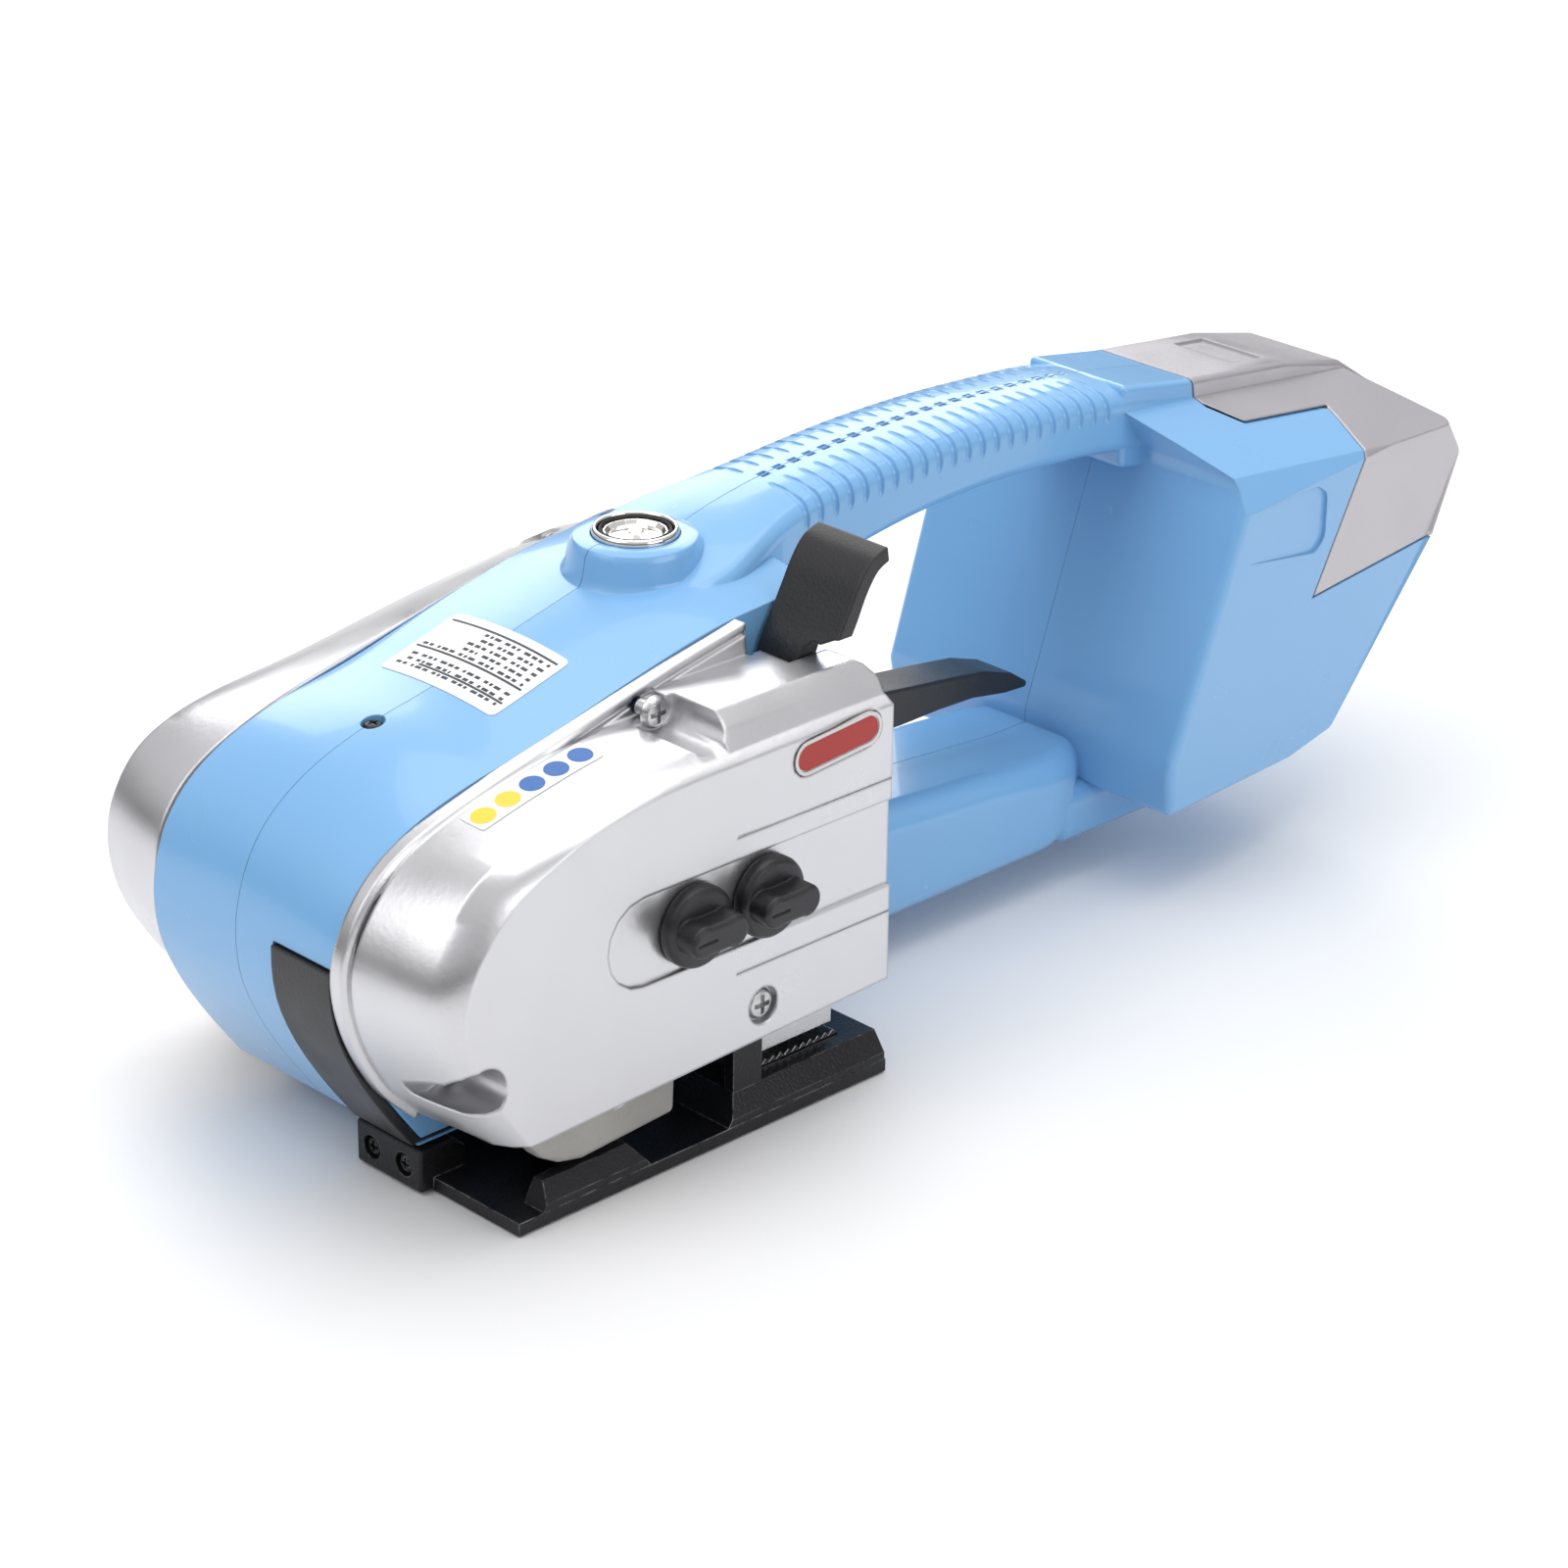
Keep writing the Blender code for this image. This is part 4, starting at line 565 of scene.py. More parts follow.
def half_shell(name, side):
    shell = body_block(name, side, 0.0)
    join(shell, OUTER_GRIP, OUTER_BRIDGE, BRIDGE_FOOT, OUTER_BATTERY, BOSS)
    hollow = body_block(name + "_hollow", side, -WALL)
    cut(shell, hollow, INNER_GRIP, INNER_BRIDGE, INNER_BATTERY, CAP_REGION)
    for label, x, z in SHELL_SCREWS:
        outer = 21.5 if "bridge" in label else 15.6
        join(shell, rod(name + label, (x, 0 if side > 0 else -outer, z), "Y", outer, 5.4, segments=16))
    half_low, half_high = (SEAM_GAP / 2, 90) if side > 0 else (-90, -SEAM_GAP / 2)
    half = box(name + "_half", (-150, half_low, -20), (300, half_high, 160))
    combine(shell, half, "INTERSECT")
    for label, x, z in SHELL_SCREWS:
        cut(shell, rod(name + label + "_hole", (x, -12, z), "Y", 60, 1.9, segments=12))
        if side > 0:
            depth = 12.0 if "bridge" in label else 8.0
            cut(shell, rod(name + label + "_sink", (x, depth, z), "Y", 40, 4.1, segments=16))
    cut(shell, BUTTON_WELL, BEZEL_SEAT, TRIGGER_SLOT)
    cut(shell, rod(name + "_top_sink", (TOP_SCREW_X, 0, 96.6), "Z", 9, 2.8, segments=12),
        rod(name + "_top_hole", (TOP_SCREW_X, 0, 90), "Z", 9, 1.6, segments=12))
    return shell


def guard_shape(name, outwards, inwards, low, high, end=-84.0):
    """A crescent wrapped round the nose on the strap side; low and high are opposite corners as (y, z)."""
    closed = smooth(BODY_LINE, 3) + [(BODY_REAR_X, BODY_FLOOR_Z)]
    shape = outline_solid(name, inset(closed, -outwards), low[0], high[0])
    cut(shape, outline_solid(name + "_inside", inset(closed, inwards), low[0] - 5, high[0] + 5))
    window = box(name + "_window", (-150, low[0] - 2, low[1]), (end, high[0] + 2, high[1]))
    return combine(shape, window, "INTERSECT")


def housing():
    left = half_shell("housing_left", -1)
    right = half_shell("housing_right", 1)
    recess = guard_shape("guard_recess", 3.0, 1.7, (-60, 12.6), (-13.0, 62.6))
    cut(left, recess)
    for hole, (hx, _, hz), radius in (("drive_hole", DRIVE_AXIS, 7.5),
                                      ("eccentric_hole", ECCENTRIC_AXIS, 7.0)):
        cut(left, rod(hole, (hx, -40, hz), "Y", 20, radius))
    x, _, z = TRIGGER_AXIS
    for shell, low, high in ((left, -15.4, -10.3), (right, 10.0, 14.4)):
        lug = rounded(box("pivot_lug_%d" % high, (x - 5, low, z - 5), (BODY_REAR_X - 1, high, z + 5)), 1.0, 1)
        join(shell, lug)
        cut(shell, rod("pivot_hole_%d" % high, (x, low - 2, z), "Y", high - low + 4, 2.8, segments=16))
    cut(right, box("motor_window", (-66, 20, 16.8), (18, 40, 70)))
    cut(right, rod("motor_clearance", (10, MOTOR_AXIS[1], MOTOR_AXIS[2]), "X", 60, MOTOR_RADIUS + 0.6))
    for shell, side, seam, posts, screws in ((left, -1, STRAP_SEAM_Y, STRAP_SCREWS[1:2], STRAP_SCREWS[:2]),
                                             (right, 1, MOTOR_SEAM_Y, MOTOR_SCREWS[1:], MOTOR_SCREWS)):
        for label, x, z, seat, _, _, _ in posts:
            root = seam - side * 1.5
            tip = seat - side * 2.8
            join(shell, rod("post_" + label, (x, min(root, tip), z), "Y", abs(tip - root), 3.2, segments=16))
        for label, x, z, seat, _, _, length in screws:
            stop = seat - side * (length + 1)
            cut(shell, rod("pilot_" + label, (x, min(seat, stop), z), "Y", abs(stop - seat),
                           COVER_SHANK + GAP, segments=12))
    cut(right, rod("socket_hole", (99.5, 10, 27), "Y", 30, 6.4, segments=20))
    groove(left, -1)
    groove(right, 1)
    for shell, side in ((left, -1), (right, 1)):
        cut(shell, side_panel("side_panel_%d" % (side + 1), side, shell))
    return left, right


def battery_cap():
    cap = outline_solid("battery_cap", inset(list(CAP_EDGE), 0.0), -79, 79)
    combine(cap, OUTER_BATTERY, "INTERSECT")
    cut(cap, INNER_BATTERY)
    mouth = [(210.5, 140), (199, 140), (199, 117.2), (210.5, 116)]
    return cut(cap, outline_solid("cap_top_recess", [(x, z + 2.2) for x, z in mouth], -10, 10))


def cover_rings(sections, floor, rear, shrink=0.0, open_floor=False):
    """Rings of a cover; each section is a depth along Y and an outline from the rear over the nose."""
    rings = []
    for y, line in sections:
        line = [(min(x, rear), z) for x, z in line]
        closed = smooth(line, 2 if shrink else 6) + [(line[-1][0] + 2, floor[0]), (rear, floor[1])]
        ring = inset(closed, shrink) if shrink else closed
        if open_floor:
            ring = ring[:-3] + [(x, z - 12) for x, z in ring[-3:]]
        rings.append([(x, y, z) for x, z in ring])
    return rings


def screw_seats(cover, hollow, screws, side):
    """Leaves material round each screw when the cover is hollowed, then sinks its head and drills it."""
    for label, x, z, seat, radius, lift, _ in screws:
        floor = seat - side * 2.4
        cut(hollow, rod("boss_" + label, (x, min(floor, side * 90), z + lift), "Y", 90 - abs(floor),
                        radius + 1.7))
    cut(cover, hollow)
    for label, x, z, seat, radius, lift, _ in screws:
        cut(cover, rod("sink_" + label, (x, min(seat, side * 90), z + lift), "Y", 90 - abs(seat), radius))
        cut(cover, rod("drill_" + label, (x, min(seat + side * 2, seat - side * 14), z), "Y", 16,
                       COVER_SHANK + GAP, segments=12))


def strap_cover():
    sections = ((STRAP_SEAM_Y - GAP, STRAP_LIP), (-37.7, STRAP_LIP), (-38.5, STRAP_INNER),
                (-49, mid_line(STRAP_INNER, STRAP_BAND, 0.4)), (-59.5, STRAP_BAND),
                (-63.5, mid_line(STRAP_BAND, STRAP_FACE, 0.45)), (-65.4,
                                                                  mid_line(STRAP_BAND, STRAP_FACE, 0.85)),
                (STRAP_FACE_Y, STRAP_FACE))
    cover = loft("strap_cover", cover_rings(sections, STRAP_FLOOR, COVER_REAR_X))
    across = [(-36.5, 94), (-36.5, 104.4), (-56.4, 104.3), (-60.6, 101), (-64.8, 94)]
    along = [(-30.5, 94), (-30.5, 105), (13, 105), (16.6, 103.2), (COVER_REAR_X, 100), (COVER_REAR_X, 94)]
    block = outline_solid("rear_step", across, -40, 30, axis="X")
    combine(block, outline_solid("rear_step_side", along, -70, -30), "INTERSECT")
    join(cover, block)
    hollow_sections = ((-30, inset_line(STRAP_INNER, 0.6)), (-49, mid_line(STRAP_INNER, STRAP_BAND, 0.4)),
                       (-59, mid_line(STRAP_BAND, STRAP_FACE, 0.15)), (-63.8, STRAP_FACE))
    hollow = loft("strap_cover_hollow", cover_rings(hollow_sections, STRAP_FLOOR, COVER_REAR_X, COVER_WALL,
                                                    True))
    screw_seats(cover, hollow, STRAP_SCREWS, -1)
    track = arc((-58, 60.8), 10.8, 90, 270, 8) + [(40, 50), (40, 71.6)]
    cut(cover, outline_solid("knob_track", track, -80, STRAP_FACE_Y + 0.9))
    for hole, (hx, _, hz) in (("tension_hole", TENSION_KNOB_AXIS), ("weld_hole", WELD_KNOB_AXIS)):
        cut(cover, rod(hole, (hx, -80, hz), "Y", 30, 3.6))
    x, _, z = LEVER_AXIS
    cut(cover, box("lever_slot", (2.8, -48.2, 90), (30, -38.6, 130)))
    cut(cover, box("lever_slot_seam", (-1.0, -38.7, 90), (30, -30, 130)))
    cut(cover, rod("lever_pin_bore", (x, -55.4, z), "Y", 10, 2.6, segments=16))
    badge_seat = arc((10.5, 91.4), 4.6, -90, 90, 6) + arc((-8.5, 90.0), 4.6, 90, 270, 6)
    cut(cover, outline_solid("badge_seat", badge_seat, -80, STRAP_FACE_Y + 0.8))
    trim_strap_cover(cover)
    return cover


def mid_line(first, second, share):
    return tuple((a[0] + (b[0] - a[0]) * share, a[1] + (b[1] - a[1]) * share) for a, b in zip(first, second))


def inset_line(line, distance):
    """An open outline moved towards the inside of the tool."""
    closed = list(line) + [(line[0][0], 0)]
    return tuple(inset(closed, distance)[:len(line)])


# Cover screws as (name, x, z, y of the seat, radius of the channel, height of the channel above the
# screw, length)
STRAP_SCREWS = (("strap_cover_screw_top", -34.6, 101.7, -43.0, 6.3, 1.8, 14.0),
                ("strap_cover_screw_nose", -104.5, 39.5, -46.0, 6.4, 0.0, 12.0),
                ("strap_cover_screw_low", -21.5, 32.7, -63.4, 4.6, 0.0, 7.6))
MOTOR_SCREWS = (("motor_cover_screw_top", 11.0, 104.0, 41.0, 4.4, 0.4, 12.0),
                ("motor_cover_screw_nose", -105.5, 62.5, 43.0, 5.4, 0.0, 12.0),
                ("motor_cover_screw_low", -9.5, 13.4, 63.4, 4.6, 0.0, 8.0))
HEAD_RADIUS = 3.9
HEAD_HEIGHT = 2.1
COVER_SHANK = 1.8


def motor_cover():
    sections = ((MOTOR_SEAM_Y + GAP, MOTOR_SEAM), (34.2, MOTOR_LIP), (35.2, inset_line(MOTOR_LIP, 0.8)),
                (47, mid_line(MOTOR_LIP, MOTOR_BAND, 0.5)), (57, MOTOR_BAND),
                (62.0, mid_line(MOTOR_BAND, MOTOR_FACE, 0.45)), (65.2,
                                                                 mid_line(MOTOR_BAND, MOTOR_FACE, 0.85)),
                (MOTOR_FACE_Y, MOTOR_FACE))
    cover = loft("motor_cover", cover_rings(sections, MOTOR_FLOOR, MOTOR_COVER_REAR_X))
    hollow_sections = ((26, inset_line(MOTOR_SEAM, 2.5)), (35, inset_line(MOTOR_LIP, 0.7)),
                       (47, mid_line(MOTOR_LIP, MOTOR_BAND, 0.5)), (57,
                                                                    mid_line(MOTOR_BAND, MOTOR_FACE, 0.1)),
                       (63.8, mid_line(MOTOR_BAND, MOTOR_FACE, 0.95)))
    hollow = loft("motor_cover_hollow", cover_rings(hollow_sections, MOTOR_FLOOR, MOTOR_COVER_REAR_X,
                                                    COVER_WALL))
    screw_seats(cover, hollow, MOTOR_SCREWS, 1)
    trim_motor_cover(cover)
    return cut(cover, rod("motor_opening", (16, MOTOR_AXIS[1], MOTOR_AXIS[2]), "X", 20, MOTOR_RADIUS + 0.6))


# End cap of the motor, seen from the rear, as (y, z)
END_CAP = ((24, 12), (36, 8.5), (49, 8.5), (55.5, 12), (60.6, 32), (60.6, 57), (56, 65), (48, 70.5),
           (34, 70.5), (24, 64))


def end_cap_rings(shrink, start, end):
    """Sections from front to rear; the rear is rounded off, most of all at its top."""
    rings = []
    stations = ((start, 0, 0), (50, 0, 0), (57, 3.0, 0.8), (63.5, 8.5, 2.2), (67.8, 13.5, 4.4),
                (70, 17.0, 7.4))
    for x, drop, pull in stations:
        section = inset(list(END_CAP), shrink + pull)
        top = 71.0 - shrink - drop
        rings.append([(min(x, end), y, min(z, top - abs(y - 42) * 0.12 * drop / 17)) for y, z in section])
    return rings


def motor_end_cap():
    cap = loft("motor_end_cap", end_cap_rings(0, MOTOR_COVER_REAR_X + GAP, 70))
    cut(cap, loft("end_cap_hollow", end_cap_rings(2.2, 10, 70)[:-1]))
    for x in (50.5, 57.5):
        for z in (22.0, 34.0, 46.0):
            cut(cap, box("vent_%d_%d" % (x, z), (x, 50, z), (x + 3.2, 75, z + 9)))
    for x in (34.0, 42.0):
        cut(cap, box("low_vent_%d" % x, (x, 50, 13), (x + 6, 75, 16)))
    return cap


def nose_guard():
    return guard_shape("nose_guard", 0.9, 1.4, (STRAP_SEAM_Y + 0.5, 12.3), (-13.4, 62.0), -84.4)


def weld_lever():
    """A thin curved thumb plate, wider above the cover, on a hub round its pin."""
    x, _, z = LEVER_AXIS
    front = smooth([(4.6, 101), (6.4, 106), (9.6, 111.5), (12.9, 117.5), (16, 123), (19.6, 127.2),
                    (24.6, 129.2)])
    back = smooth([(25.2, 125.6), (21.6, 123.8), (18.4, 119.6), (15.4, 113.6), (12.6, 108), (11, 101)])
    hub = arc((x, z), 4.8, 10, -190, 9)
    plate = outline_solid("weld_lever", front + back + hub, -57.4, -35.0, origin=LEVER_AXIS)
    rounded(plate, 1.1, 2, 50)
    notch = [(-60, 85), (-60, 111.0), (-56.4, 110.4), (-53, 108.6), (-50.4, 108.6), (-48.2, 106.6),
             (-47.6, 103), (-47.6, 85)]
    corner = [(-60, 127), (-54.4, 132), (-60, 135)]
    cut(plate, outline_solid("lever_notch", notch, -10, 40, axis="X"),
        outline_solid("lever_corner", corner, -10, 40, axis="X"), rod("lever_bore", (x, -60, z), "Y", 40, 2.6,
                                                                      segments=16))
    return plate


def lift_trigger():
    x, y, z = TRIGGER_AXIS
    profile = [(5, 62), (10, 66.5), (30, 67.2), (62, 65.6), (84, 62.6), (97, 61), (110, 59.2), (120, 56),
               (126, 52), (125.4, 50.6), (118, 51), (106, 53), (94, 53.4), (80, 53.2), (62, 53.8), (40, 52.2),
               (22, 50), (9, 50.5), (5, 54)]
    trigger = outline_solid("lift_trigger", profile, y - 6.5, y + 6.5, origin=TRIGGER_AXIS)
    rounded(trigger, 1.8, 2, 40)
    cut(trigger, rod("trigger_bore", (x, y - 12, z), "Y", 24, 2.55, segments=16))
    return trigger


def base_plate():
    plate = box("base_plate", (-93.7, -64, 0), (20.7, -12.8, 3.2))
    front_rail = [(-86.5, 1), (-86.5, 3), (-82, 12), (-61, 12), (-54, 3), (-54, 1)]
    rail = outline_solid("front_rail", [(-63.9, 1), (-63.9, 5), (-60.4, 8.8), (-57.4, 8.8), (-57.4, 1)], -95,
                         -40, axis="X")
    combine(rail, outline_solid("front_rail_side", front_rail, -80, -40), "INTERSECT")
    rear_block = [(-30, 1), (-30, 3.4), (-24, 12), (20.4, 12), (20.4, 1)]
    block = outline_solid("rear_block", [(-63.9, 1), (-63.9, 5), (-60.4, 9.8), (-31, 9.8), (-31, 1)], -40, 30,
                          axis="X")
    combine(block, outline_solid("rear_block_side", rear_block, -80, -20), "INTERSECT")
    bracket = [(-97.5, 0.2), (-97.5, 11.0), (-88, 11.0), (-84, 8), (-84, 0.2)]
    nose = rounded(outline_solid("nose_bracket", bracket, -35.2, -12.9), 0.8, 1, 50)
    tab = box("screw_tab", (-25.6, -60.6, 8), (-16.6, -57.7, 38))
    join(plate, rail, block, nose, tab)
    cut(plate, rod("tab_hole", (-21.5, -70, 32.7), "Y", 20, COVER_SHANK + GAP, segments=12))
    cut(plate, box("tooth_seat", (-17.4, -56.4, 7.9), (12.4, -36.6, 20)))
    for _, y in BRACKET_SCREWS:
        cut(plate, rod("bracket_hole_%d" % -y, (-110, y, BRACKET_SCREW_Z), "X", 22, 1.9, segments=12),
            rod("bracket_sink_%d" % -y, (-110, y, BRACKET_SCREW_Z), "X", 14.2, 2.9, segments=12))
    return plate


# ---------------------------------------------------------------- materials


def shader_tree(name):
    material = bpy.data.materials.new(name)
    material.use_nodes = True
    return material, material.node_tree, material.node_tree.nodes["Principled BSDF"]


def shader_node(tree, kind, settings=(), **inputs):
    """A new shader node; an input is a value or another node's socket, with _ for a space in its name."""
    item = tree.nodes.new("ShaderNode" + kind)
    for key, value in settings:
        setattr(item, key, value)
    for key, value in inputs.items():
        socket = item.inputs[key.replace("_", " ")]
        if isinstance(value, bpy.types.NodeSocket):
            tree.links.new(value, socket)
        else:
            socket.default_value = value
    return item


def noise(tree, scale, detail=2, rough=0.5, stretch=None):
    place = shader_node(tree, "TexCoord").outputs["Object"]
    if stretch:
        place = shader_node(tree, "Mapping", Vector=place, Scale=stretch).outputs["Vector"]
    return shader_node(tree, "TexNoise", Vector=place, Scale=scale, Detail=detail,
                       Roughness=rough).outputs["Fac"]


def ramp(tree, source, low, high, start=0.3, end=0.7):
    limits = {"From Min": start, "From Max": end, "To Min": low, "To Max": high}
    return shader_node(tree, "MapRange", Value=source, **limits).outputs["Result"]


def mixed(tree, share, first, second):
    """A blend of two colours, by a share from 0 to 1."""
    return shader_node(tree, "Mix", [("data_type", "RGBA")], Factor=share, A=first,
                       B=second).outputs["Result"]


def surface(name, colour, roughness, metallic=0.0, grain=(900, 0.02), mottle=0.06, edge=0.0006, coat=0.0,
            wear=None, brushed=None, spread=0.06):
    """A finish: a slightly varied colour, uneven roughness, fine grain and softened, sometimes worn, edges.

    grain is the fine bump's scale, strength and, where it is rough, its octaves. edge is the softened edges'
    radius in metres, and wear the bare colour at worn edges.
    """
    material, tree, shader = shader_tree(name)
    dark, light = ((*[min(1.0, c * share) for c in colour], 1) for share in (1 - mottle, 1 + mottle))
    base = mixed(tree, noise(tree, 28), dark, light)
    uneven = ramp(tree, noise(tree, 60, stretch=brushed), roughness - spread, roughness + spread)
    soft = shader_node(tree, "Bevel", [("samples", 6)], Radius=edge).outputs["Normal"]
    height = noise(tree, grain[0], grain[2] if len(grain) > 2 else 1, stretch=brushed)
    bump = shader_node(tree, "Bump", Strength=grain[1], Distance=BUMP_DEPTH, Height=height, Normal=soft)
    if wear:
        flat = shader_node(tree, "NewGeometry").outputs["Normal"]
        turn = shader_node(tree, "VectorMath", [("operation", "DOT_PRODUCT")])
        patch = shader_node(tree, "Math", [("operation", "MULTIPLY")])
        worn = ramp(tree, turn.outputs["Value"], 1.0, 0.0, 0.90, 0.985)
        patches = ramp(tree, noise(tree, 240, 5, 0.7), 0.0, 1.0, 0.42, 0.62)
        for source, target in ((flat, turn.inputs[0]), (soft, turn.inputs[1]), (worn, patch.inputs[0]),
                               (patches, patch.inputs[1])):
            tree.links.new(source, target)
        base = mixed(tree, patch.outputs["Value"], base, (*wear, 1))
    for socket, source in (("Roughness", uneven), ("Normal", bump.outputs["Normal"]), ("Base Color", base)):
        tree.links.new(source, shader.inputs[socket])
    for socket, value in (("Metallic", metallic), ("Coat Weight", coat), ("Coat Roughness", 0.06)):
        shader.inputs[socket].default_value = value
    return material


BUMP_DEPTH = 0.0006
LOOKS = {
    "blue_plastic": surface("look_blue", (0.205, 0.455, 0.775), 0.26, grain=(1500, 0.02), mottle=0.02,
                            edge=0.0006, coat=0.35, spread=0.015),
    "silver_metal": surface("look_silver", (0.68, 0.68, 0.70), 0.31, 0.92, grain=(700, 0.05), mottle=0.02,
                            edge=0.0011, spread=0.04),
    "cap_plastic": surface("look_cap", (0.53, 0.515, 0.54), 0.34, 0.6, grain=(900, 0.08), mottle=0.03,
                           edge=0.0008),
    "gear_case": surface("look_case", (0.42, 0.42, 0.43), 0.5, 0.9, grain=(900, 0.5), mottle=0.12),
    "black_plastic": surface("look_black", (0.016, 0.016, 0.018), 0.36, grain=(1200, 0.1), mottle=0.12,
                             edge=0.0008),
    "button_chrome": surface("look_chrome", (0.82, 0.80, 0.77), 0.12, 1.0, grain=(600, 0.02), mottle=0.03,
                             edge=0.0003, spread=0.04),
    "black_steel": surface("look_black_steel", (0.012, 0.012, 0.014), 0.33, 0.35, grain=(1400, 0.25),
                           mottle=0.25, edge=0.0005, wear=(0.30, 0.30, 0.31)),
    "bright_steel": surface("look_steel", (0.60, 0.60, 0.61), 0.26, 1.0, grain=(1200, 0.15), mottle=0.08,
                            edge=0.0003, brushed=(1, 6, 1)),
    "rocker_cast": surface("look_cast", (0.42, 0.41, 0.39), 0.66, 0.5, grain=(420, 1.0, 4), mottle=0.3,
                           edge=0.0008),
    "bush_bronze": surface("look_bronze", (0.60, 0.34, 0.17), 0.36, 1.0, grain=(1500, 0.3), mottle=0.1),
    "board_green": surface("look_board", (0.01, 0.13, 0.05), 0.35, grain=(500, 0.2), coat=0.3),
    "cell_sleeve": surface("look_cell", (0.04, 0.16, 0.3), 0.3, grain=(400, 0.1), coat=0.2),
    "white_label": surface("look_label", (0.86, 0.87, 0.88), 0.42, grain=(1800, 0.06), mottle=0.02,
                           edge=0.0002),
    "badge_metal": surface("look_badge", (0.66, 0.63, 0.63), 0.3, 0.8, grain=(1600, 0.2), edge=0.0002),
}
INK, INK_BLUE, INK_YELLOW, INK_RED = (
    surface("look_ink" + label, colour, roughness, grain=(1500, 0.1), edge=0.0001)
    for label, colour, roughness in (
        ("", (0.03, 0.03, 0.035), 0.5), ("_blue", (0.01, 0.12, 0.42), 0.4),
        ("_yellow", (0.85, 0.62, 0.02), 0.4), ("_red", (0.42, 0.03, 0.025), 0.4)))
RUBBER = surface("look_ring", (0.01, 0.01, 0.01), 0.5, grain=(1500, 0.2), edge=0.0003)

for part, item in frame["nodes"].items():
    item.data.materials.clear()
    item.data.materials.append(LOOKS[SLOT_OF[part]])


# ---------------------------------------------------------------- settling pieces

def settle(part, name, node, material=None, stands_for=True, crisp=30.0):
    """Turns a worked shape into a finished piece that rides on its node's body."""
    bpy.context.view_layer.update()
    mesh = bpy.data.meshes.new_from_object(part.evaluated_get(bpy.context.evaluated_depsgraph_get()))
    mesh.transform(Matrix.Translation((-MIDDLE_X * MM, -MIDDLE_Y * MM, 0)) @ part.matrix_world)
    shape = bmesh.new()
    shape.from_mesh(mesh)
    bmesh.ops.recalc_face_normals(shape, faces=shape.faces)
    shape.to_mesh(mesh)
    shape.free()
    mesh.materials.clear()
    mesh.materials.append(material or LOOKS[SLOT_OF[node]])
    mesh.shade_smooth()
    mesh.set_sharp_from_angle(angle=math.radians(crisp))
    piece = bpy.data.objects.new(name, mesh)
    bpy.context.scene.collection.objects.link(piece)
    even = piece.modifiers.new("even", "WEIGHTED_NORMAL")
    even.keep_sharp = True
    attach(piece, BODY_OF[node])
    if stands_for:
        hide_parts(node)
    part.hide_viewport = True
    return piece


def screw_piece(node, head, axis, radius, direction=1):
    """A pan head with a cross recess and a washer face, over the plain screw."""
    height = radius * 0.56
    dome = [(0, 0), (radius * 0.5, -0.03 * radius), (radius * 0.78, -0.12 * radius),
            (radius * 0.94, -0.3 * radius), (radius, -height), (radius * 0.5, -height),
            (radius * 0.5, -height - 4), (0, -height - 4)]
    part = turned(node, dome, head, axis, segments=18, flip=direction < 0)
    depth = radius * 0.42
    half, thin = radius * 0.6, radius * 0.15
    along = "XYZ".index(axis)
    for number, (a, b) in enumerate(((half, thin), (thin, half))):
        reach = Vector((a, b))
        reach = Vector((*reach[:along], depth, *reach[along:]))
        cut(part, box("%s_cross_%d" % (node, number), Vector(head) - reach, Vector(head) + reach))
    return settle(part, "shown_" + node, node)


# ---------------------------------------------------------------- shells and covers

left, right = housing()
shell_pieces = [settle(left, "shell_left", "housing_left"), settle(right, "shell_right", "housing_right")]
settle(battery_cap(), "pack_cap", "battery_cap")
cover_piece = settle(strap_cover(), "cover_strap_side", "strap_cover")
for maker, piece in ((motor_cover, "cover_motor_side"), (motor_end_cap, "cap_motor_end"),
                     (nose_guard, "guard_nose"), (base_plate, "base"), (weld_lever, "lever_weld"),
                     (lift_trigger, "trigger_lift")):
    settle(maker(), piece, maker.__name__)

# ---------------------------------------------------------------- controls

for node, (kx, ky, kz) in (("tension_knob", TENSION_KNOB_AXIS), ("weld_time_knob", WELD_KNOB_AXIS)):
    rim = [(0, 3.6), (7.6, 3.6), (8.8, 3.3), (9.5, 2.6), (9.8, 1.8), (9.8, 0.0), (9.5, -0.5), (3.0, -0.6),
           (3.0, -8.0), (0, -8.0)]
    dial = turned(node + "_dial", rim, (kx, ky, kz), "Y", segments=30, flip=True)
    waist = arc((kx - 4.6, kz), 3.9, 64, 296, 14) + arc((kx + 4.6, kz), 3.9, -116, 116, 14)
    bar = rounded(outline_solid(node + "_grip", waist, ky - 9.4, ky - 2.0), 1.2, 2, 50)
    join(dial, bar)
    cut(dial, box(node + "_line", (kx - 7.2, ky - 11, kz - 0.35), (kx - 1.5, ky - 9.0, kz + 0.35)))
    settle(dial, "dial_" + node, node)

ring = [(10.2, 1.0), (10.3, 0.4), (10.3, -0.9), (8.9, -0.9), (8.9, 0.9), (9.1, 1.4), (9.5, 1.6), (9.9, 1.45)]
settle(turned("bezel", ring, (0, 0, BOSS_TOP_Z), "Z", segments=36), "ring_bezel", "button_bezel", crisp=50)
cushion = [(8.5, -2.0), (8.62, 0.9), (8.2, 1.35), (7.7, 0.9), (7.7, -2.0)]
settle(turned("button_ring", cushion, (0, 0, BOSS_TOP_Z), "Z", segments=36), "ring_black", "start_button",
       RUBBER, stands_for=False)
cup = [(0, 0.55), (1.5, 0.45), (2.0, 0.15), (6.2, -0.55), (7.2, 0.5), (7.6, 0.55), (7.6, -6), (5, -6),
       (5, -7.5), (2.6, -7.5), (2.6, -13), (0, -13)]
button = turned("button", cup, (0, 0, BOSS_TOP_Z), "Z", segments=8)
settle(button, "button_face", "start_button", crisp=12)
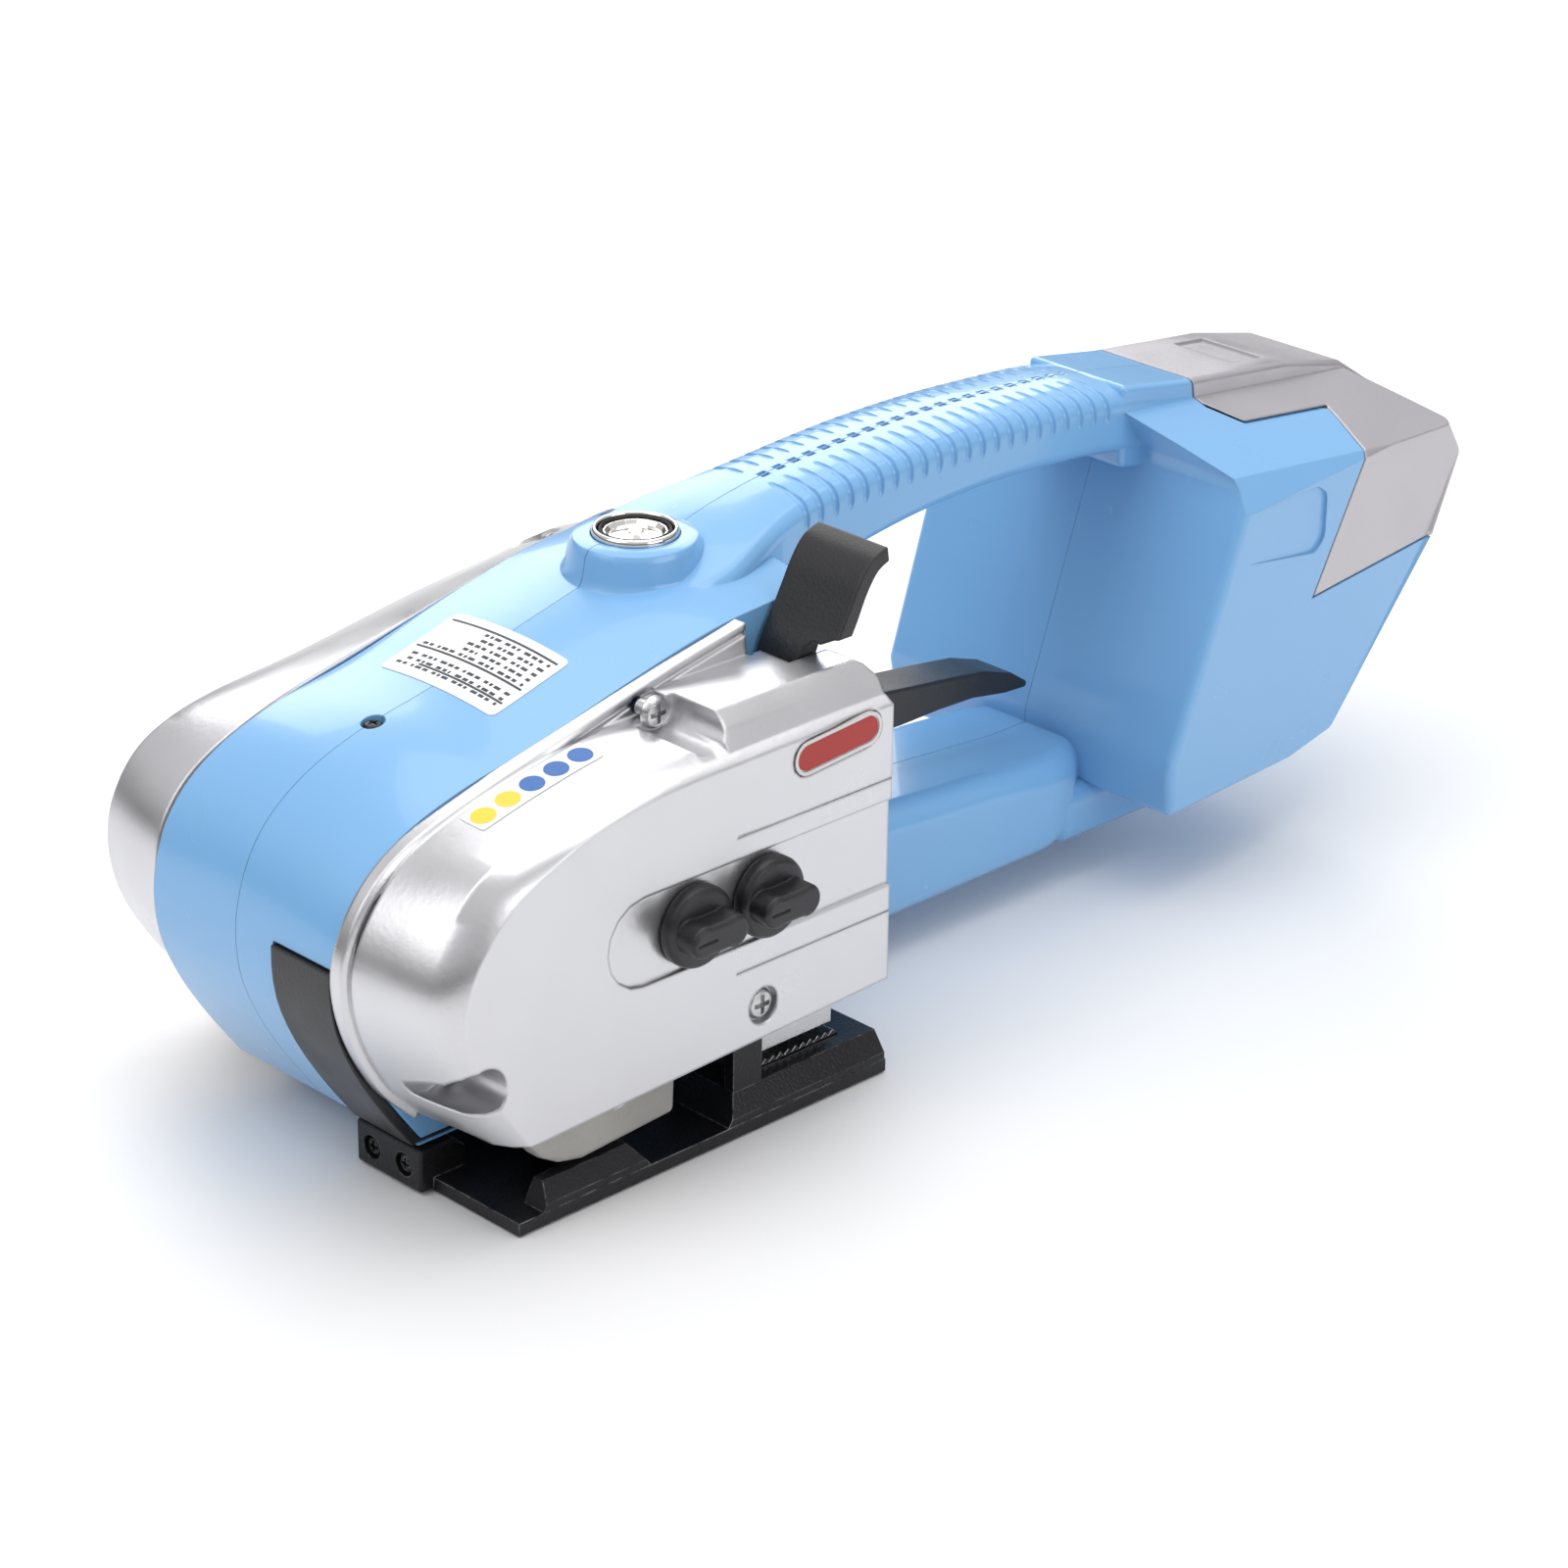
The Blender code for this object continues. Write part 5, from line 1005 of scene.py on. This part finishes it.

# The spring under the button is shown by a copy with its own mesh, which rides on the spring's body.
coil = frame["nodes"]["button_spring"]
spring = bpy.data.objects.new("spring_button", coil.data.copy())
bpy.context.scene.collection.objects.link(spring)
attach(spring, BODY_OF["button_spring"])
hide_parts("button_spring")
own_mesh(spring)

# ---------------------------------------------------------------- fasteners

for screws, side in ((STRAP_SCREWS, -1), (MOTOR_SCREWS, 1)):
    for label, sx, sz, seat, _, _, _ in screws:
        screw_piece(label, (sx, seat + side * (HEAD_HEIGHT + GAP), sz), "Y", HEAD_RADIUS, side)
for label, sx, sz in SHELL_SCREWS:
    screw_piece(label, (sx, (12.0 if "bridge" in label else 8.0) + 2.5, sz), "Y", 3.6)
screw_piece("top_screw", (TOP_SCREW_X, 0, 98.4), "Z", 2.4)
for label, sy in BRACKET_SCREWS:
    screw_piece(label, (-97.2, sy, BRACKET_SCREW_Z), "X", 2.5, -1)

# ---------------------------------------------------------------- labels and badge

# Heights over the surface below; a point nearer the parting line than PARTING_CLEAR moves out to it
LABEL_BASE = 0.02
LABEL_TOP = 0.2
PRINT_TOP = 0.26
PARTING_CLEAR = 0.35
DOT_COUNT = 5
BLUE_DOTS = 3
LABEL_ROWS = 9


def slab(shape, wall, spot, along, across, low, high):
    """Adds a thin closed slab that follows a surface; spot(u, v) gives x and y for shares from 0 to 1."""
    layers = [[], []]
    for i in range(along + 1):
        for j in range(across + 1):
            x, y = spot(i / along, j / across)
            y = math.copysign(max(abs(y), PARTING_CLEAR), y)
            top = wall.ray_cast(Vector((x, y, 200)), Vector((0, 0, -1)))[0].z
            for layer, lift in zip(layers, (low, high)):
                layer.append(shape.verts.new((x, y, top + lift)))
    width = across + 1
    for layer in layers:
        for i in range(along):
            for j in range(across):
                a = i * width + j
                shape.faces.new((layer[a], layer[a + 1], layer[a + width + 1], layer[a + width]))
    last = along * width
    rim = [*range(width), *range(width + across, last + width, width)]
    rim += [*range(last + across - 1, last - 1, -1), *range(last - width, 0, -width)]
    for a, b in zip(rim, rim[1:] + rim[:1]):
        shape.faces.new((layers[0][a], layers[0][b], layers[1][b], layers[1][a]))


def rounded_sheet(low, high, radius):
    """The spot function of a rectangle with round corners, from its lowest to its highest (x, y)."""
    def spot(u, v):
        x, y = low[0] + (high[0] - low[0]) * u, low[1] + (high[1] - low[1]) * v
        middle_x = min(max(x, low[0] + radius), high[0] - radius)
        middle_y = min(max(y, low[1] + radius), high[1] - radius)
        away = math.hypot(x - middle_x, y - middle_y)
        if away > radius:
            x = middle_x + (x - middle_x) * radius / away
            y = middle_y + (y - middle_y) * radius / away
        return x, y
    return spot


def disc(centre, radius_x, radius_y):
    """The spot function of a disc: a square grid pressed into a circle."""
    def spot(u, v):
        a, b = 2 * u - 1, 2 * v - 1
        x = centre[0] + radius_x * a * math.sqrt(1 - b * b / 2)
        y = centre[1] + radius_y * b * math.sqrt(1 - a * a / 2)
        return x, y
    return spot


def label(name, wall, spots, node, low, high, material=None, stands_for=False, along=12, across=12):
    """One piece made of slabs that lie on a shell."""
    shape = bmesh.new()
    for spot in spots:
        slab(shape, wall, spot, along, across, low, high)
    return settle(from_bmesh(name, shape), name, node, material, stands_for=stands_for)


plate_low, plate_high = (-61.6, -20), (-38.0, 19)
WORK_ORIGIN = (MIDDLE_X, MIDDLE_Y, 0)
shells = tree_of(*shell_pieces, offset=WORK_ORIGIN)
label("plate_rating", shells, [rounded_sheet(plate_low, plate_high, 1.6)], "rating_label", LABEL_BASE,
      LABEL_TOP, stands_for=True, along=20, across=32)
cells = [(0.10, 0.125, -18.4, 17.4), (0.56, 0.585, -18.4, 17.4), (0.80, 0.825, -18.4, 10.0)]
for row in range(LABEL_ROWS):
    share = 0.16 + 0.085 * row
    reach = -17.5
    step = 0
    while reach < (4.0 if row < 4 else 15.5):
        length = 0.8 + 1.1 * ((row * 7 + step * 5) % 4) / 3.0
        if abs(share - 0.57) > 0.03 and abs(share - 0.81) > 0.03:
            cells.append((share, share + 0.035, reach, reach + length))
        reach += length + 0.7 + 0.9 * ((row * 3 + step) % 3 == 0)
        step += 1
plate_length = plate_high[0] - plate_low[0]
lines = [rounded_sheet((plate_high[0] - b * plate_length, y0), (plate_high[0] - a * plate_length, y1), 0)
         for a, b, y0, y1 in cells]
label("print_rating_lines", shells, lines[:3], "rating_label", LABEL_TOP - 0.05, PRINT_TOP, INK, across=24,
      along=2)
label("print_rating", shells, lines[3:], "rating_label", LABEL_TOP - 0.05, PRINT_TOP, INK, along=1, across=2)

cover_wall = tree_of(cover_piece, offset=WORK_ORIGIN)
strip_low, strip_high = (-88.6, -48.2), (-53.5, -40.0)
label("plate_icons", cover_wall, [rounded_sheet(strip_low, strip_high, 0.8)], "icon_label", LABEL_BASE,
      LABEL_TOP, stands_for=True, along=28, across=8)
for number in range(DOT_COUNT):
    share = (number + 0.5) / DOT_COUNT
    spot = disc((strip_high[0] + (strip_low[0] - strip_high[0]) * share, -44.1), 2.8, 3.0)
    label("print_dot_%d" % number, cover_wall, [spot], "icon_label", LABEL_TOP - 0.05, PRINT_TOP,
          INK_BLUE if number < BLUE_DOTS else INK_YELLOW, along=10, across=10)

badge_line = arc((10.5, 91.4), 4.2, -90, 90, 16) + arc((-8.5, 90.0), 4.2, 90, 270, 16)
badge = outline_solid("badge", badge_line, STRAP_FACE_Y - 0.3, STRAP_FACE_Y + 0.45)
cut(badge, outline_solid("badge_well", inset(badge_line, 0.9), STRAP_FACE_Y - 2, STRAP_FACE_Y + 0.05))
settle(badge, "plate_badge", "badge")
field = outline_solid("badge_field", inset(badge_line, 1.1), STRAP_FACE_Y - 0.05, STRAP_FACE_Y + 0.1)
settle(field, "field_badge", "badge", INK_RED, stands_for=False)

for old in list(WORK.objects):
    bpy.data.objects.remove(old, do_unlink=True)
bpy.data.collections.remove(WORK)

# ---------------------------------------------------------------- floor, light and camera

floor_mesh = bpy.data.meshes.new("floor")
floor_mesh.from_pydata([(-6, -6, 0), (6, -6, 0), (6, 6, 0), (-6, 6, 0)], [], [(0, 1, 2, 3)])
floor = bpy.data.objects.new("floor", floor_mesh)
bpy.context.scene.collection.objects.link(floor)
floor.location.z = cad_low.z - 0.0005
floor_look, floor_tree, floor_shader = shader_tree("look_floor")
floor_shader.inputs["Base Color"].default_value = (0.9, 0.9, 0.905, 1)
floor_shader.inputs["Roughness"].default_value = 0.55
floor_mesh.materials.append(floor_look)


def area(name, location, target, size, power, colour=(1, 1, 1)):
    lamp = bpy.data.lights.new(name, "AREA")
    lamp.shape = "RECTANGLE"
    lamp.size, lamp.size_y = size
    lamp.energy = power
    lamp.color = colour
    item = bpy.data.objects.new(name, lamp)
    bpy.context.scene.collection.objects.link(item)
    item.location = location
    item.rotation_mode = "QUATERNION"
    item.rotation_quaternion = (Vector(location) - Vector(target)).to_track_quat("Z", "Y")
    return item


area("light_top", (0.15, 0.1, 1.5), (0, 0, 0.05), (1.4, 1.4), 10.5)
area("light_left", (-1.25, 0.35, 1.35), (0, 0, 0.06), (1.1, 1.4), 8)
area("light_front", (0.25, -1.7, 0.75), (0, 0, 0.06), (1.3, 0.6), 6.5)
area("light_back", (0.9, 1.3, 0.9), (0, 0, 0.08), (1.2, 0.8), 9)

world = bpy.data.worlds.new("studio")
bpy.context.scene.world = world
world.use_nodes = True
sky = world.node_tree
split = shader_node(sky, "SeparateXYZ", Vector=shader_node(sky, "TexCoord").outputs["Generated"])
shade = shader_node(sky, "ValToRGB", Fac=split.outputs["Z"])
sky.links.new(shade.outputs["Color"], sky.nodes["Background"].inputs["Color"])
stops = shade.color_ramp.elements
stops[0].position, stops[0].color = 0.0, (0.08, 0.08, 0.085, 1)
stops[1].position, stops[1].color = 1.0, (1, 1, 1, 1)
for position, value in ((0.10, 0.09), (0.24, 0.5), (0.5, 0.98)):
    stop = stops.new(position)
    stop.color = (value, value, value * 1.02, 1)
sky.nodes["Background"].inputs["Strength"].default_value = 0.68

camera_data = bpy.data.cameras.new("camera")
camera = bpy.data.objects.new("camera", camera_data)
bpy.context.scene.collection.objects.link(camera)
camera.matrix_world = Matrix(((0.71551, 0.28000, -0.64003, -0.73997), (-0.69850, 0.30246, -0.64855, -0.72654),
                              (0.01199, 0.91111, 0.41199, 0.50849), (0, 0, 0, 1)))
camera_data.sensor_width = 36
camera_data.lens = 106
camera_data.clip_start, camera_data.clip_end = 0.01, 20
bpy.context.scene.camera = camera
bpy.context.scene.view_settings.view_transform = "Standard"
bpy.context.scene.view_settings.look = "None"
